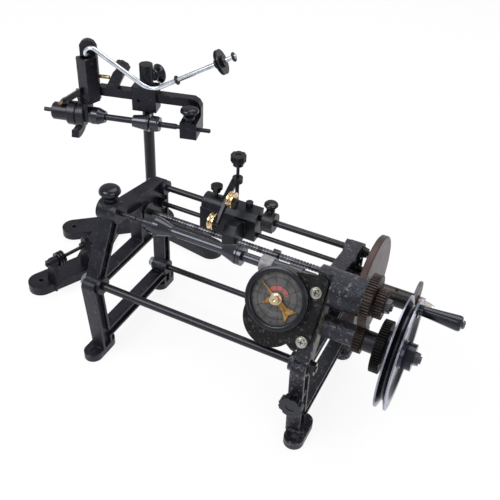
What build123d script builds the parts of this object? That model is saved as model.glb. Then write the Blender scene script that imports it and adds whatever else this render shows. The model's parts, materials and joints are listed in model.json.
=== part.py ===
"""Hand-driven wire coil winding machine with its free-standing spool stand.

Millimetres, +Z up.  X runs along the machine from the left end frame to the handwheel, Y runs to the
back and the bench is Z = 0.  The origin is the left front foot's bolt hole, on the bench.
"""

import os
from math import atan2, cos, degrees, hypot, pi, radians, sin

from build123d import *

os.makedirs("parts", exist_ok=True)

# ------------------------------------------------------------------ driving dimensions
rod_span = 245.0              # free length of the tie rods between the end frames' bosses
left_boss_face = 17.0         # inner face of the left end frame's rod bosses
right_boss_face = left_boss_face + rod_span
frame_thickness = 17.0
boss_projection = 5.0         # the rod bosses stand proud of the frame's inner face
left_frame_x = left_boss_face - boss_projection - frame_thickness
right_frame_x = right_boss_face + boss_projection
right_frame_end = right_frame_x + frame_thickness

running_clearance = 0.05      # radial clearance of a turning or sliding fit
side_clearance = 0.3          # gap between faces that turn past each other
seat_clearance = 0.02         # radial clearance of a fixed pin in its seat
face_gap = 0.05               # gap between the faces of pieces that are clamped together

front_rod_y, front_rod_z, front_rod_d = 13.0, 115.0, 10.0
back_rod_y, back_rod_z, back_rod_d = 156.0, 42.0, 8.0
guide_y, guide_z, guide_d = 160.0, 172.0, 8.0
lower_guide_y, lower_guide_z, lower_guide_d = 152.5, 151.5, 6.0
spindle_y, spindle_z = 57.0, 195.0
drive_drop_angle = 66.7       # the drive shaft lies below and in front of the spindle

gear_module = 1.0
large_teeth = 56
small_teeth = 30
gear_width = 9.5
gear_distance = gear_module * (large_teeth + small_teeth) / 2
drive_y = spindle_y - gear_distance * cos(radians(drive_drop_angle))
drive_z = spindle_z - gear_distance * sin(radians(drive_drop_angle))
disc_y, disc_z = 138.0, 141.0


# ------------------------------------------------------------------ shared shapes
def along_x(y, z):
    """Plane whose x follows the machine's X and whose y is the height above the axis at (y, z)."""
    return Plane(origin=(0, y, z), x_dir=(1, 0, 0), z_dir=(0, -1, 0))


def axis_x(y, z):
    """Axis along the machine's X through (y, z)."""
    return Axis((0, y, z), (1, 0, 0))


def across_x(x, y=0.0, z=0.0):
    """Plane square to X at x, with its x along Y and its y along Z."""
    return Plane(origin=(x, y, z), x_dir=(0, 1, 0), z_dir=(1, 0, 0))


def outline(*points):
    """Closed face through the points, in the sketch that is open."""
    Polygon(*points, align=None)


def bar(start, end, width):
    """Straight member with round ends between two points of the open sketch."""
    run = (end[0] - start[0], end[1] - start[1])
    with Locations(((start[0] + end[0]) / 2, (start[1] + end[1]) / 2)):
        SlotCenterToCenter(hypot(*run), width, rotation=degrees(atan2(run[1], run[0])))


def turned_outline(*stations):
    """Face between the axis and the stations (place along the axis, radius) of a turned piece."""
    outline((stations[0][0], 0), *stations, (stations[-1][0], 0))


def gear_outline(teeth, turn=0.0):
    """Spur gear face with straight-flanked teeth; turn is counted in tooth pitches."""
    pitch_radius = gear_module * teeth / 2
    pitch_angle = 2 * pi / teeth
    root, tip = pitch_radius - 1.2 * gear_module, pitch_radius + 0.85 * gear_module
    half_root, half_pitch, half_tip = 0.33 * pitch_angle, 0.225 * pitch_angle, 0.12 * pitch_angle
    points = []
    for tooth in range(teeth):
        middle = (tooth + turn) * pitch_angle
        for radius, offset in ((root, -half_root), (pitch_radius, -half_pitch), (tip, -half_tip),
                               (tip, half_tip), (pitch_radius, half_pitch), (root, half_root)):
            points.append((radius * cos(middle + offset), radius * sin(middle + offset)))
    outline(*points)


def mushroom_knob(seat, head_radius, head_height, foot_radius, foot_height, stem_radius, stem_depth):
    """Domed clamp knob on its screw; seat is the plane it screws down on, with z along its stem."""
    with BuildPart() as knob:
        with BuildSketch(Plane(origin=seat.origin, x_dir=seat.x_dir, z_dir=-seat.y_dir)):
            rim = foot_height + head_height * 0.45
            top = foot_height + head_height
            with BuildLine():
                Polyline((0, top), (0, -stem_depth), (stem_radius, -stem_depth), (stem_radius, 0),
                         (foot_radius, 0), (foot_radius, foot_height * 0.8), (head_radius, rim))
                Spline((head_radius, rim), (0, top), tangents=((0, 1), (-1, 0)))
            make_face()
        revolve(axis=Axis(seat.origin, seat.z_dir))
    return knob.part


def star_knob(seat, radius, height, hub_radius, hub_height, stem_radius, stem_depth, lobes=8):
    """Fluted clamp knob on its screw; seat is the plane it screws down on, with z along its stem."""
    with BuildPart() as knob:
        with BuildSketch(seat.offset(hub_height)):
            Circle(radius)
            with PolarLocations(radius * 1.1, lobes):
                Circle(radius * 0.2, mode=Mode.SUBTRACT)
        extrude(amount=height)
        with BuildSketch(seat.offset(hub_height + height)):
            Circle(radius * 0.36)
        extrude(amount=-height * 0.1, mode=Mode.SUBTRACT)
        with BuildSketch(seat):
            Circle(hub_radius)
        extrude(amount=hub_height)
        with BuildSketch(seat):
            Circle(stem_radius)
        extrude(amount=-stem_depth)
    return knob.part


def hex_nut(seat, across_flats, height, bore):
    """Hexagon nut with chamfered corners, standing on the seat plane round a stud."""
    with BuildPart() as nut:
        with BuildSketch(seat):
            RegularPolygon(across_flats / 2, 6, major_radius=False)
        extrude(amount=height)
        with BuildSketch(seat):
            Circle(across_flats * 0.6)
        extrude(amount=height, taper=12, mode=Mode.INTERSECT)
        with BuildSketch(seat):
            Circle(bore)
        extrude(amount=height, mode=Mode.SUBTRACT)
    return nut.part


def save(solid, name):
    """Label the finished piece and write it to parts/."""
    solid.label = name
    export_step(solid, f"parts/{name}.step")


# ------------------------------------------------------------------ end frames
leg_y, leg_width = 7.0, 18.0
leg_foot_y = 16.0             # the front leg leans back to its foot, clear of the bolt hole
back_leg_y, back_leg_width = 161.5, 15.0
member_width = 17.0
mid_bar_z, mid_bar_width = 115.0, 11.0
rail_z, rail_width = 28.0, 16.0
top_width = 20.0
top_front_y, top_front_z = 69.0, 186.0
foot_thickness = 10.0
foot_width = 24.0
foot_hole_d = 7.0
front_foot_back_y = 26.0
back_foot_front_y, back_foot_back_y = 159.0, 174.0
left_foot_x, right_foot_x = 0.0, right_frame_end - 3.0
pocket_depth = 4.5
flange = 3.2
gusset_y = 104.0
screw_boss_y, screw_boss_z, screw_boss_d = 123.5, 155.0, 24.0
pin_d = 5.5
pin_boss_d = 27.0
pin_boss_left = left_frame_x - 4.0
knob_boss_d, knob_boss_z = 22.0, spindle_z + 14.0
rod_bosses = (
    # y, z, boss diameter, stud diameter through the frame
    (front_rod_y, front_rod_z, 22.0, 7.0),
    (back_rod_y, back_rod_z, 20.0, 6.0),
    (guide_y, guide_z, 19.0, 6.0),
    (lower_guide_y, lower_guide_z, 13.0, 4.0),
)


def leg_centre(z):
    """Y of the front leg's centre line at a height."""
    return leg_foot_y + (leg_y - leg_foot_y) * (z - leg_width / 2) / (front_rod_z - leg_width / 2)


def frame_members(inset):
    """Members of an end frame in its own plane, each narrowed by inset at both edges."""
    bar((leg_foot_y, leg_width / 2), (leg_y, front_rod_z), leg_width - 2 * inset)
    bar((front_rod_y, front_rod_z), (spindle_y, spindle_z), member_width - 2 * inset)
    bar((top_front_y, top_front_z), (guide_y, guide_z), top_width - 2 * inset)
    bar((back_leg_y, back_leg_width / 2), (back_leg_y, guide_z), back_leg_width - 2 * inset)
    bar((front_rod_y, mid_bar_z), (back_leg_y, mid_bar_z), mid_bar_width - 2 * inset)
    bar((leg_centre(rail_z), rail_z), (back_leg_y, rail_z), rail_width - 2 * inset)
    outline((gusset_y + inset, mid_bar_z), (back_leg_y, mid_bar_z), (back_leg_y, guide_z),
            (gusset_y + inset, guide_z))


def keep_circles(extra_bosses):
    """Round islands that the web pockets leave standing round the bosses."""
    for y, z, boss, stud in rod_bosses:
        with Locations((y, z)):
            Circle(boss / 2, mode=Mode.SUBTRACT)
    for y, z, boss in extra_bosses:
        with Locations((y, z)):
            Circle(boss / 2, mode=Mode.SUBTRACT)


with BuildPart() as stud_bores:
    for y, z, boss, stud in rod_bosses:
        with BuildSketch(across_x(left_frame_x - 1.0, y, z)):
            Circle(stud / 2 + seat_clearance)
        extrude(amount=right_frame_end - left_frame_x + 2.0)


def end_frame(frame_x, boss_face, foot_x, extra_bosses):
    """Cast end frame: members with web pockets, rod bosses, feet and the studs' holes."""
    side = 1 if boss_face > frame_x else -1
    with BuildPart() as casting:
        with BuildSketch(across_x(frame_x)):
            frame_members(0)
        extrude(amount=frame_thickness)
        for face, inward in ((frame_x, 1), (frame_x + frame_thickness, -1)):
            with BuildSketch(across_x(face)):
                frame_members(flange)
                keep_circles(extra_bosses)
            extrude(amount=inward * pocket_depth, mode=Mode.SUBTRACT)
        with BuildSketch(across_x(boss_face)):
            for y, z, boss, stud in rod_bosses:
                with Locations((y, z)):
                    Circle(boss / 2)
        extrude(amount=-side * (boss_projection + frame_thickness))
        with BuildSketch(Plane.XY):
            bar((foot_x, 0), (foot_x, front_foot_back_y), foot_width)
            bar((foot_x, back_foot_front_y), (foot_x, back_foot_back_y), foot_width)
        extrude(amount=foot_thickness)
        with BuildSketch(Plane.XY):
            with Locations((foot_x, 0), (foot_x, back_foot_back_y)):
                Circle(foot_hole_d / 2)
        extrude(amount=foot_thickness, mode=Mode.SUBTRACT)
    return casting.part


left_bosses = ((spindle_y, spindle_z, pin_boss_d), (screw_boss_y, screw_boss_z, screw_boss_d))
left_casting = end_frame(left_frame_x, left_boss_face, left_foot_x, left_bosses)
with BuildPart() as left_end_frame:
    add(left_casting)
    with BuildSketch(across_x(pin_boss_left)):
        with Locations((spindle_y, spindle_z)):
            Circle(pin_boss_d / 2)
    extrude(amount=left_boss_face - pin_boss_left)
    knob_x = (pin_boss_left + left_boss_face) / 2
    with BuildSketch(Plane(origin=(knob_x, spindle_y, spindle_z))):
        Circle(knob_boss_d / 2)
    extrude(amount=knob_boss_z - spindle_z)
    with BuildSketch(across_x(left_frame_x + pocket_depth)):
        with Locations((screw_boss_y, screw_boss_z)):
            Circle(screw_boss_d / 2)
    extrude(amount=frame_thickness - pocket_depth)
    lead_screw_d = 8.0
    lead_screw_seat = 8.0
    with BuildSketch(across_x(left_frame_x + frame_thickness)):
        with Locations((screw_boss_y, screw_boss_z)):
            Circle(lead_screw_d / 2 + running_clearance)
    extrude(amount=-lead_screw_seat, mode=Mode.SUBTRACT)
    with BuildSketch(across_x(pin_boss_left)):
        with Locations((spindle_y, spindle_z)):
            Circle(pin_d / 2 + running_clearance)
    extrude(amount=left_boss_face - pin_boss_left, mode=Mode.SUBTRACT)
    knob_screw_d = 5.0
    with BuildSketch(Plane(origin=(knob_x, spindle_y, spindle_z))):
        Circle(knob_screw_d / 2 + running_clearance)
    extrude(amount=knob_boss_z - spindle_z, mode=Mode.SUBTRACT)
    add(stud_bores.part, mode=Mode.SUBTRACT)
save(left_end_frame.part, "left_end_frame")

# ------------------------------------------------------------------ headstock
spindle_boss_d = 41.0
spindle_boss_end = right_frame_end + 36.5
drive_boss_d = 24.0
drive_boss_end = spindle_boss_end
spindle_d = 14.0
drive_shaft_d = 12.0
bush_wall = 2.5
bush_length = 14.0
disc_axle_d = 10.0
disc_boss_d, disc_boss_end = 26.0, right_frame_end + 12.0
knob_leg_z = 69.0
leg_knob_screw_d = 6.0
incline = atan2(spindle_z - front_rod_z, spindle_y - front_rod_y)
counter_pad = 10.5            # height of the counter's seat above the inclined member's centre line
counter_screw_x = right_frame_end - 12.5
counter_screws_t = (28.0, 83.5)
counter_screw_d = 5.0
counter_screw_depths = (12.0, 2.6)
counter_clear_height = 14.0   # room cut above the counter's seat
counter_room = (13.5, 106.0)  # where that room starts and ends along the member
spindle_bush_x = right_frame_x + 9.0
spindle_entry_gap = 0.3


def on_incline(x, along, height):
    """Plane on the inclined front member; its x follows X and its y climbs the member."""
    place = (
        x,
        front_rod_y + along * cos(incline) - height * sin(incline),
        front_rod_z + along * sin(incline) + height * cos(incline),
    )
    return Plane(origin=place, x_dir=(1, 0, 0), z_dir=(0, -sin(incline), cos(incline)))


right_bosses = ((screw_boss_y, screw_boss_z, screw_boss_d), (disc_y, disc_z, disc_boss_d))
right_casting = end_frame(right_frame_x, right_boss_face, right_foot_x, right_bosses)
with BuildPart() as headstock_frame:
    add(right_casting)
    with BuildSketch(across_x(right_frame_x)):
        with Locations((spindle_y, spindle_z)):
            Circle(spindle_boss_d / 2)
    extrude(amount=spindle_boss_end - right_frame_x)
    with BuildSketch(across_x(right_frame_x)):
        with Locations((drive_y, drive_z)):
            Circle(drive_boss_d / 2)
    extrude(amount=drive_boss_end - right_frame_x)
    rib_width = 12.0
    with BuildSketch(across_x(right_frame_x)):
        bar((front_rod_y, front_rod_z), (spindle_y, spindle_z), member_width)
        bar((drive_y, drive_z), (spindle_y, spindle_z), rib_width)
    extrude(amount=frame_thickness)
    with BuildSketch(on_incline(right_frame_x + frame_thickness / 2, 0, 0)):
        with Locations((0, (counter_screws_t[0] + counter_screws_t[1]) / 2)):
            Rectangle(frame_thickness, counter_screws_t[1] - counter_screws_t[0] + 24)
    extrude(amount=counter_pad)
    with BuildSketch(across_x(right_frame_x + pocket_depth)):
        for y, z in ((disc_y, disc_z), (screw_boss_y, screw_boss_z)):
            with Locations((y, z)):
                Circle(disc_boss_d / 2)
    extrude(amount=frame_thickness - 2 * pocket_depth)
    with BuildSketch(across_x(right_frame_end - pocket_depth)):
        with Locations((disc_y, disc_z)):
            Circle(disc_boss_d / 2)
    extrude(amount=disc_boss_end - right_frame_end + pocket_depth)
    with BuildSketch(on_incline(right_frame_x + frame_thickness / 2, 0, counter_pad)):
        with Locations((0, (counter_room[0] + counter_room[1]) / 2)):
            Rectangle(frame_thickness + 2 * side_clearance, counter_room[1] - counter_room[0])
    extrude(amount=counter_clear_height, mode=Mode.SUBTRACT)
    for y, z, shaft, start in ((spindle_y, spindle_z, spindle_d, spindle_bush_x),
                               (drive_y, drive_z, drive_shaft_d, right_frame_x)):
        with BuildSketch(across_x(start)):
            with Locations((y, z)):
                Circle(shaft / 2 + bush_wall + seat_clearance)
        extrude(amount=spindle_boss_end - start, mode=Mode.SUBTRACT)
    with BuildSketch(across_x(right_frame_x)):
        with Locations((spindle_y, spindle_z)):
            Circle(spindle_d / 2 + spindle_entry_gap)
    extrude(amount=spindle_bush_x - right_frame_x, mode=Mode.SUBTRACT)
    with BuildSketch(across_x(disc_boss_end)):
        with Locations((disc_y, disc_z)):
            Circle(disc_axle_d / 2 + seat_clearance)
    disc_axle_seat = disc_boss_end - right_frame_x - pocket_depth
    extrude(amount=-disc_axle_seat, mode=Mode.SUBTRACT)
    with BuildSketch(across_x(right_frame_x)):
        with Locations((screw_boss_y, screw_boss_z)):
            Circle(lead_screw_d / 2 + running_clearance)
    extrude(amount=lead_screw_seat, mode=Mode.SUBTRACT)
    for t, depth in zip(counter_screws_t, counter_screw_depths):
        with BuildSketch(on_incline(counter_screw_x, t, counter_pad)):
            Circle(counter_screw_d / 2 + seat_clearance)
        extrude(amount=-depth, mode=Mode.SUBTRACT)
    leg_centre_x = right_frame_x + frame_thickness / 2
    leg_knob_lift = 1.5
    leg_knob_run = leg_width + 2 * leg_knob_lift
    leg_front_y = leg_centre(knob_leg_z) - leg_width / 2 - leg_knob_lift
    leg_knob_boss_d = 15.0
    with BuildSketch(Plane(origin=(leg_centre_x, leg_front_y, knob_leg_z), x_dir=(1, 0, 0), z_dir=(0, 1, 0))):
        Circle(leg_knob_boss_d / 2)
    extrude(amount=leg_knob_run)
    with BuildSketch(Plane(origin=(leg_centre_x, leg_front_y, knob_leg_z), x_dir=(1, 0, 0), z_dir=(0, 1, 0))):
        Circle(leg_knob_screw_d / 2 + running_clearance)
    extrude(amount=leg_knob_run, mode=Mode.SUBTRACT)
    add(stud_bores.part, mode=Mode.SUBTRACT)
save(headstock_frame.part, "headstock_frame")

with BuildPart() as shaft_bushes:
    for y, z, shaft, first in ((spindle_y, spindle_z, spindle_d, spindle_bush_x),
                               (drive_y, drive_z, drive_shaft_d, right_frame_x)):
        for start in (first, spindle_boss_end - bush_length):
            with BuildSketch(across_x(start, y, z)):
                Circle(shaft / 2 + bush_wall)
                Circle(shaft / 2 + running_clearance, mode=Mode.SUBTRACT)
            extrude(amount=bush_length)
save(shaft_bushes.part, "shaft_bushes")

# ------------------------------------------------------------------ tie and guide rods
stud_left = left_frame_x - 8.0
stud_right = right_frame_end + 8.0
with BuildPart() as tie_rods:
    for (y, z, boss, stud), diameter in zip(rod_bosses[:2], (front_rod_d, back_rod_d)):
        with BuildSketch(along_x(y, z)):
            turned_outline((stud_left, stud / 2), (left_boss_face, stud / 2), (left_boss_face, diameter / 2),
                           (right_boss_face, diameter / 2), (right_boss_face, stud / 2),
                           (stud_right, stud / 2))
        revolve(axis=axis_x(y, z))
save(tie_rods.part, "tie_rods")

with BuildPart() as guide_rods:
    for (y, z, boss, stud), diameter in zip(rod_bosses[2:], (guide_d, lower_guide_d)):
        with BuildSketch(along_x(y, z)):
            turned_outline((stud_left, stud / 2), (left_boss_face, stud / 2), (left_boss_face, diameter / 2),
                           (right_boss_face, diameter / 2), (right_boss_face, stud / 2),
                           (stud_right, stud / 2))
        revolve(axis=axis_x(y, z))
save(guide_rods.part, "guide_rods")

nut_flats = (14.0, 12.0, 11.0, 7.5)
nut_height = 5.0
washer_thickness = 1.5
with BuildPart() as tie_rod_nuts:
    for (y, z, boss, stud), flats in zip(rod_bosses, nut_flats):
        for face, way in ((left_frame_x, -1), (right_frame_end, 1)):
            with BuildSketch(across_x(face + way * face_gap, y, z)):
                Circle(flats * 0.62)
                Circle(stud / 2 + seat_clearance, mode=Mode.SUBTRACT)
            extrude(amount=way * washer_thickness)
            seat = Plane(origin=(face + way * (face_gap + washer_thickness), y, z), x_dir=(0, 1, 0),
                         z_dir=(way, 0, 0))
            add(hex_nut(seat, flats, nut_height, stud / 2 + seat_clearance))
save(tie_rod_nuts.part, "tie_rod_nuts")

# ------------------------------------------------------------------ winding spindle line
mandrel_left = 52.0
cone_bore_gap = 0.4
pin_end = -16.0
pin_tip = 48.0
pin_collar_x, pin_collar_length, pin_collar_d = 31.0, 8.0, 8.0
pin_reach = 62.0
with BuildPart() as tail_pin:
    with BuildSketch(along_x(spindle_y, spindle_z)):
        turned_outline((pin_end, pin_d / 2 - 0.6), (pin_end + 0.6, pin_d / 2), (pin_collar_x, pin_d / 2),
                       (pin_collar_x, pin_collar_d / 2), (pin_collar_x + pin_collar_length, pin_collar_d / 2),
                       (pin_collar_x + pin_collar_length, pin_d / 2), (pin_tip + 6, pin_d / 2),
                       (pin_reach, 0.5))
    revolve(axis=axis_x(spindle_y, spindle_z))
save(tail_pin.part, "tail_pin")

tail_knob_seat = Plane(origin=(knob_x, spindle_y, knob_boss_z + side_clearance))
tail_screw_depth = knob_boss_z + side_clearance - spindle_z - pin_d / 2 - side_clearance
tail_knob = mushroom_knob(tail_knob_seat, 13.0, 14.0, 7.5, 5.0, knob_screw_d / 2, tail_screw_depth)
save(tail_knob, "tail_lock_knob")

shaft_d = 8.0
cone_1 = (52.0, 88.0)
cone_2 = (153.5, 178.0)
ring_1 = (200.0, 215.0)
nose = ((215.5, 232.0, 8.5), (232.0, 248.0, 9.5), (248.0, 261.5, 8.0))
spindle_gear_x = spindle_boss_end + side_clearance
pinion_x = spindle_gear_x + gear_width + 1.0
spindle_end = pinion_x + gear_width + 8.0
mandrel_d = 11.0
with BuildPart() as winding_spindle:
    with BuildSketch(along_x(spindle_y, spindle_z)):
        turned_outline((mandrel_left, shaft_d / 2), (nose[0][0], shaft_d / 2),
                       *((x, r) for a, b, r in nose for x, r in ((a, r), (b, r))),
                       (nose[-1][1], spindle_d / 2), (spindle_gear_x, spindle_d / 2),
                       (spindle_gear_x, shaft_d / 2), (spindle_end, shaft_d / 2))
    revolve(axis=axis_x(spindle_y, spindle_z))
    with BuildSketch(along_x(spindle_y, spindle_z)):
        turned_outline((mandrel_left, pin_d / 2 + running_clearance), (pin_tip + 6, pin_d / 2 + running_clearance),
                       (pin_reach + 1, 0.5 + running_clearance))
    revolve(axis=axis_x(spindle_y, spindle_z), mode=Mode.SUBTRACT)
save(winding_spindle.part, "winding_spindle")

with BuildPart() as winding_cones:
    bore = shaft_d / 2 + seat_clearance
    with BuildSketch(along_x(spindle_y, spindle_z)):
        outline((cone_1[0], bore), (cone_1[0], 8.0), (cone_1[0] + 5, 8.5), (cone_1[0] + 6, 10.5),
                (cone_1[0] + 14, 11.5), (cone_1[0] + 20, 10.5), (cone_1[1] - 3, 6.8), (cone_1[1], 6.2),
                (cone_1[1], bore))
    revolve(axis=axis_x(spindle_y, spindle_z))
    with BuildSketch(along_x(spindle_y, spindle_z)):
        outline((cone_2[0], bore), (cone_2[0], 6.5), (cone_2[1] - 8, 11.5), (cone_2[1] - 6, 11.5),
                (cone_2[1] - 6, 10.0), (cone_2[1] - 5, 10.0), (cone_2[1] - 5, 11.5), (cone_2[1], 11.5),
                (cone_2[1], bore))
    revolve(axis=axis_x(spindle_y, spindle_z))
save(winding_cones.part, "winding_cones")

with BuildPart() as mandrel_tube:
    for start, end in ((cone_1[1] + face_gap, cone_2[0] - face_gap), (cone_2[1] + face_gap, ring_1[0] - face_gap)):
        with BuildSketch(across_x(start, spindle_y, spindle_z)):
            Circle(mandrel_d / 2)
            Circle(shaft_d / 2 + seat_clearance, mode=Mode.SUBTRACT)
        extrude(amount=end - start)
save(mandrel_tube.part, "mandrel_tubes")

ring_d = 20.0
with BuildPart() as mandrel_ring:
    with BuildSketch(across_x(ring_1[0], spindle_y, spindle_z)):
        Circle(ring_d / 2)
        Circle(shaft_d / 2 + seat_clearance, mode=Mode.SUBTRACT)
    extrude(amount=ring_1[1] - ring_1[0])
    fillet(mandrel_ring.faces().filter_by(GeomType.CYLINDER).sort_by(SortBy.AREA)[-1].edges(), 1.2)
save(mandrel_ring.part, "mandrel_ring")

for name, teeth, x, turn in (("spindle_large_gear", large_teeth, spindle_gear_x, 0.0),
                             ("spindle_pinion", small_teeth, pinion_x, 0.0)):
    with BuildPart() as gear:
        with BuildSketch(across_x(x, spindle_y, spindle_z)):
            gear_outline(teeth, turn)
            Circle(shaft_d / 2 + seat_clearance, mode=Mode.SUBTRACT)
        extrude(amount=gear_width)
    save(gear.part, name)

spindle_nut_x = pinion_x + gear_width + face_gap
with BuildPart() as spindle_nut:
    add(hex_nut(across_x(spindle_nut_x, spindle_y, spindle_z), 14.0, 6.0, shaft_d / 2 + seat_clearance))
save(spindle_nut.part, "spindle_nut")

# ------------------------------------------------------------------ handwheel and drive shaft
drive_gear_x = spindle_gear_x
gear_shift_room = 4.0         # the drive line slides this far before its other pair of gears meets
wheel_gear_x = pinion_x + gear_width + gear_shift_room
sleeve_r = 11.5
wheel_sleeve_length = 7.6
wheel_x = wheel_gear_x + gear_width + face_gap + wheel_sleeve_length + face_gap
wheel_width = 12.0
wheel_r = 60.5
groove_depth = 9.0
rim_inner_r = 47.0
web_thickness = 5.0
wheel_hub_length = 22.0
wheel_hub_r, wheel_hub_end = 14.5, wheel_x + wheel_hub_length
drive_left = right_frame_x + 1.0
drive_nut_flats, drive_nut_height = 13.0, 5.5
drive_stud_end = wheel_hub_end + drive_nut_height + 2.0
mesh_turn = (small_teeth * drive_drop_angle + large_teeth * (drive_drop_angle + 180)) / 360 - 0.5

with BuildPart() as drive_shaft:
    with BuildSketch(along_x(drive_y, drive_z)):
        turned_outline((drive_left, drive_shaft_d / 2), (drive_gear_x, drive_shaft_d / 2),
                       (drive_gear_x, shaft_d / 2), (drive_stud_end, shaft_d / 2))
    revolve(axis=axis_x(drive_y, drive_z))
save(drive_shaft.part, "drive_shaft")

for name, teeth, x, turn in (("drive_small_gear", small_teeth, drive_gear_x, mesh_turn),
                             ("drive_large_gear", large_teeth, wheel_gear_x, 0.0)):
    with BuildPart() as gear:
        with BuildSketch(across_x(x, drive_y, drive_z)):
            gear_outline(teeth, turn)
            Circle(shaft_d / 2 + seat_clearance, mode=Mode.SUBTRACT)
        extrude(amount=gear_width)
    save(gear.part, name)

with BuildPart() as drive_sleeves:
    for start, end, radius in (
        (drive_gear_x + gear_width + face_gap, wheel_gear_x - face_gap, sleeve_r),
        (wheel_gear_x + gear_width + face_gap, wheel_x - face_gap, sleeve_r * 1.6),
    ):
        with BuildSketch(across_x(start, drive_y, drive_z)):
            Circle(radius)
            Circle(shaft_d / 2 + seat_clearance, mode=Mode.SUBTRACT)
        extrude(amount=end - start)
save(drive_sleeves.part, "drive_sleeves")

grip_angle = 47.0             # the crank grip stands this far above the wheel's rearward level
grip_throw = 48.5
grip_y = drive_y + grip_throw * cos(radians(grip_angle))
grip_z = drive_z + grip_throw * sin(radians(grip_angle))
grip_pin_d = 6.0
grip_pad_r = 9.0
wheel_mid = wheel_x + wheel_width / 2
rim_flat = 1.6
with BuildPart() as handwheel:
    with BuildSketch(along_x(drive_y, drive_z)):
        bore = shaft_d / 2 + seat_clearance
        web_left = wheel_mid - web_thickness / 2
        web_right = wheel_mid + web_thickness / 2
        outline((wheel_x, bore), (wheel_x, wheel_hub_r), (web_left, wheel_hub_r + 2), (web_left, rim_inner_r - 1),
                (wheel_x, rim_inner_r + 1), (wheel_x, wheel_r), (wheel_x + rim_flat, wheel_r),
                (wheel_mid - 1, wheel_r - groove_depth), (wheel_mid + 1, wheel_r - groove_depth),
                (wheel_x + wheel_width - rim_flat, wheel_r), (wheel_x + wheel_width, wheel_r),
                (wheel_x + wheel_width, rim_inner_r + 3), (web_right, rim_inner_r - 1),
                (web_right, wheel_hub_r + 2), (wheel_x + wheel_width, wheel_hub_r),
                (wheel_hub_end, wheel_hub_r), (wheel_hub_end, bore))
    revolve(axis=axis_x(drive_y, drive_z))
    with BuildSketch(across_x(web_right - 1.0, grip_y, grip_z)):
        Circle(grip_pad_r)
    extrude(amount=wheel_x + wheel_width - web_right + 1.0)
    with BuildSketch(across_x(wheel_x, grip_y, grip_z)):
        Circle(grip_pin_d / 2 + seat_clearance)
    extrude(amount=2 * wheel_width, mode=Mode.SUBTRACT)
save(handwheel.part, "handwheel")

grip_start = wheel_x + wheel_width + side_clearance
grip_length = 43.0
grip_head = 3.0
grip_end_r = 8.4
grip_root_r = 5.5
pin_start = web_left - 2.0
with BuildPart() as wheel_fasteners:
    add(hex_nut(across_x(wheel_hub_end + face_gap, drive_y, drive_z), drive_nut_flats, drive_nut_height,
                shaft_d / 2 + seat_clearance))
    with BuildSketch(along_x(grip_y, grip_z)):
        turned_outline((pin_start, grip_pin_d / 2), (grip_start + grip_length + side_clearance, grip_pin_d / 2),
                       (grip_start + grip_length + side_clearance, 4.5),
                       (grip_start + grip_length + side_clearance + grip_head * 0.6, 4.5),
                       (grip_start + grip_length + side_clearance + grip_head, 3.0))
    revolve(axis=axis_x(grip_y, grip_z))
save(wheel_fasteners.part, "wheel_nut_and_crank_pin")

with BuildPart() as crank_grip:
    with BuildSketch(along_x(grip_y, grip_z)):
        inner = grip_pin_d / 2 + running_clearance
        with BuildLine():
            Polyline((grip_start, inner), (grip_start, grip_root_r + 0.8), (grip_start + 3, grip_root_r))
            Spline((grip_start + 3, grip_root_r), (grip_start + grip_length * 0.55, grip_end_r * 0.84),
                   (grip_start + grip_length - 4, grip_end_r))
            Polyline((grip_start + grip_length - 4, grip_end_r), (grip_start + grip_length - 1.2, grip_end_r * 0.95),
                     (grip_start + grip_length, grip_end_r * 0.78), (grip_start + grip_length, inner),
                     (grip_start, inner))
        make_face()
    revolve(axis=axis_x(grip_y, grip_z))
save(crank_grip.part, "crank_grip")

# ------------------------------------------------------------------ friction disc
disc_gap = 16.0               # room behind the disc for the guide rods' nuts
disc_x, disc_thickness, disc_r = right_frame_end + disc_gap, 8.0, 64.5
pulley_run = 57.0             # from the disc's back face to the pulley
pulley_x, pulley_r, pulley_thickness = disc_x + pulley_run, 27.0, 3.5
disc_tube_r, disc_tube_end = 11.0, pulley_x + pulley_thickness + 1.5
disc_hub_end = disc_tube_end + 7.0
axle_end = disc_hub_end + 12.0
with BuildPart() as disc_axle:
    with BuildSketch(along_x(disc_y, disc_z)):
        turned_outline((disc_boss_end - disc_axle_seat, disc_axle_d / 2), (axle_end, disc_axle_d / 2))
    revolve(axis=axis_x(disc_y, disc_z))
save(disc_axle.part, "disc_axle")

disc_bore = disc_axle_d / 2 + running_clearance
with BuildPart() as friction_disc:
    with BuildSketch(along_x(disc_y, disc_z)):
        outline((disc_x, disc_tube_r + seat_clearance), (disc_x, disc_r - 1), (disc_x + 1, disc_r),
                (disc_x + disc_thickness - 1, disc_r), (disc_x + disc_thickness, disc_r - 1),
                (disc_x + disc_thickness, disc_tube_r + seat_clearance))
    revolve(axis=axis_x(disc_y, disc_z))
save(friction_disc.part, "friction_disc")

set_screw_d = 3.0
set_screw_x = disc_x + 36.0
with BuildPart() as disc_tube:
    with BuildSketch(along_x(disc_y, disc_z)):
        outline((disc_x, disc_bore), (disc_x, disc_tube_r), (disc_tube_end, disc_tube_r),
                (disc_tube_end, disc_bore))
    revolve(axis=axis_x(disc_y, disc_z))
    with BuildSketch(Plane(origin=(set_screw_x, disc_y, disc_z))):
        Circle(set_screw_d / 2)
    extrude(amount=disc_tube_r + 2.0)
    with BuildSketch(along_x(disc_y, disc_z)):
        turned_outline((disc_x - 1, disc_bore), (disc_tube_end + 1, disc_bore))
    revolve(axis=axis_x(disc_y, disc_z), mode=Mode.SUBTRACT)
save(disc_tube.part, "disc_tube")

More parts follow.
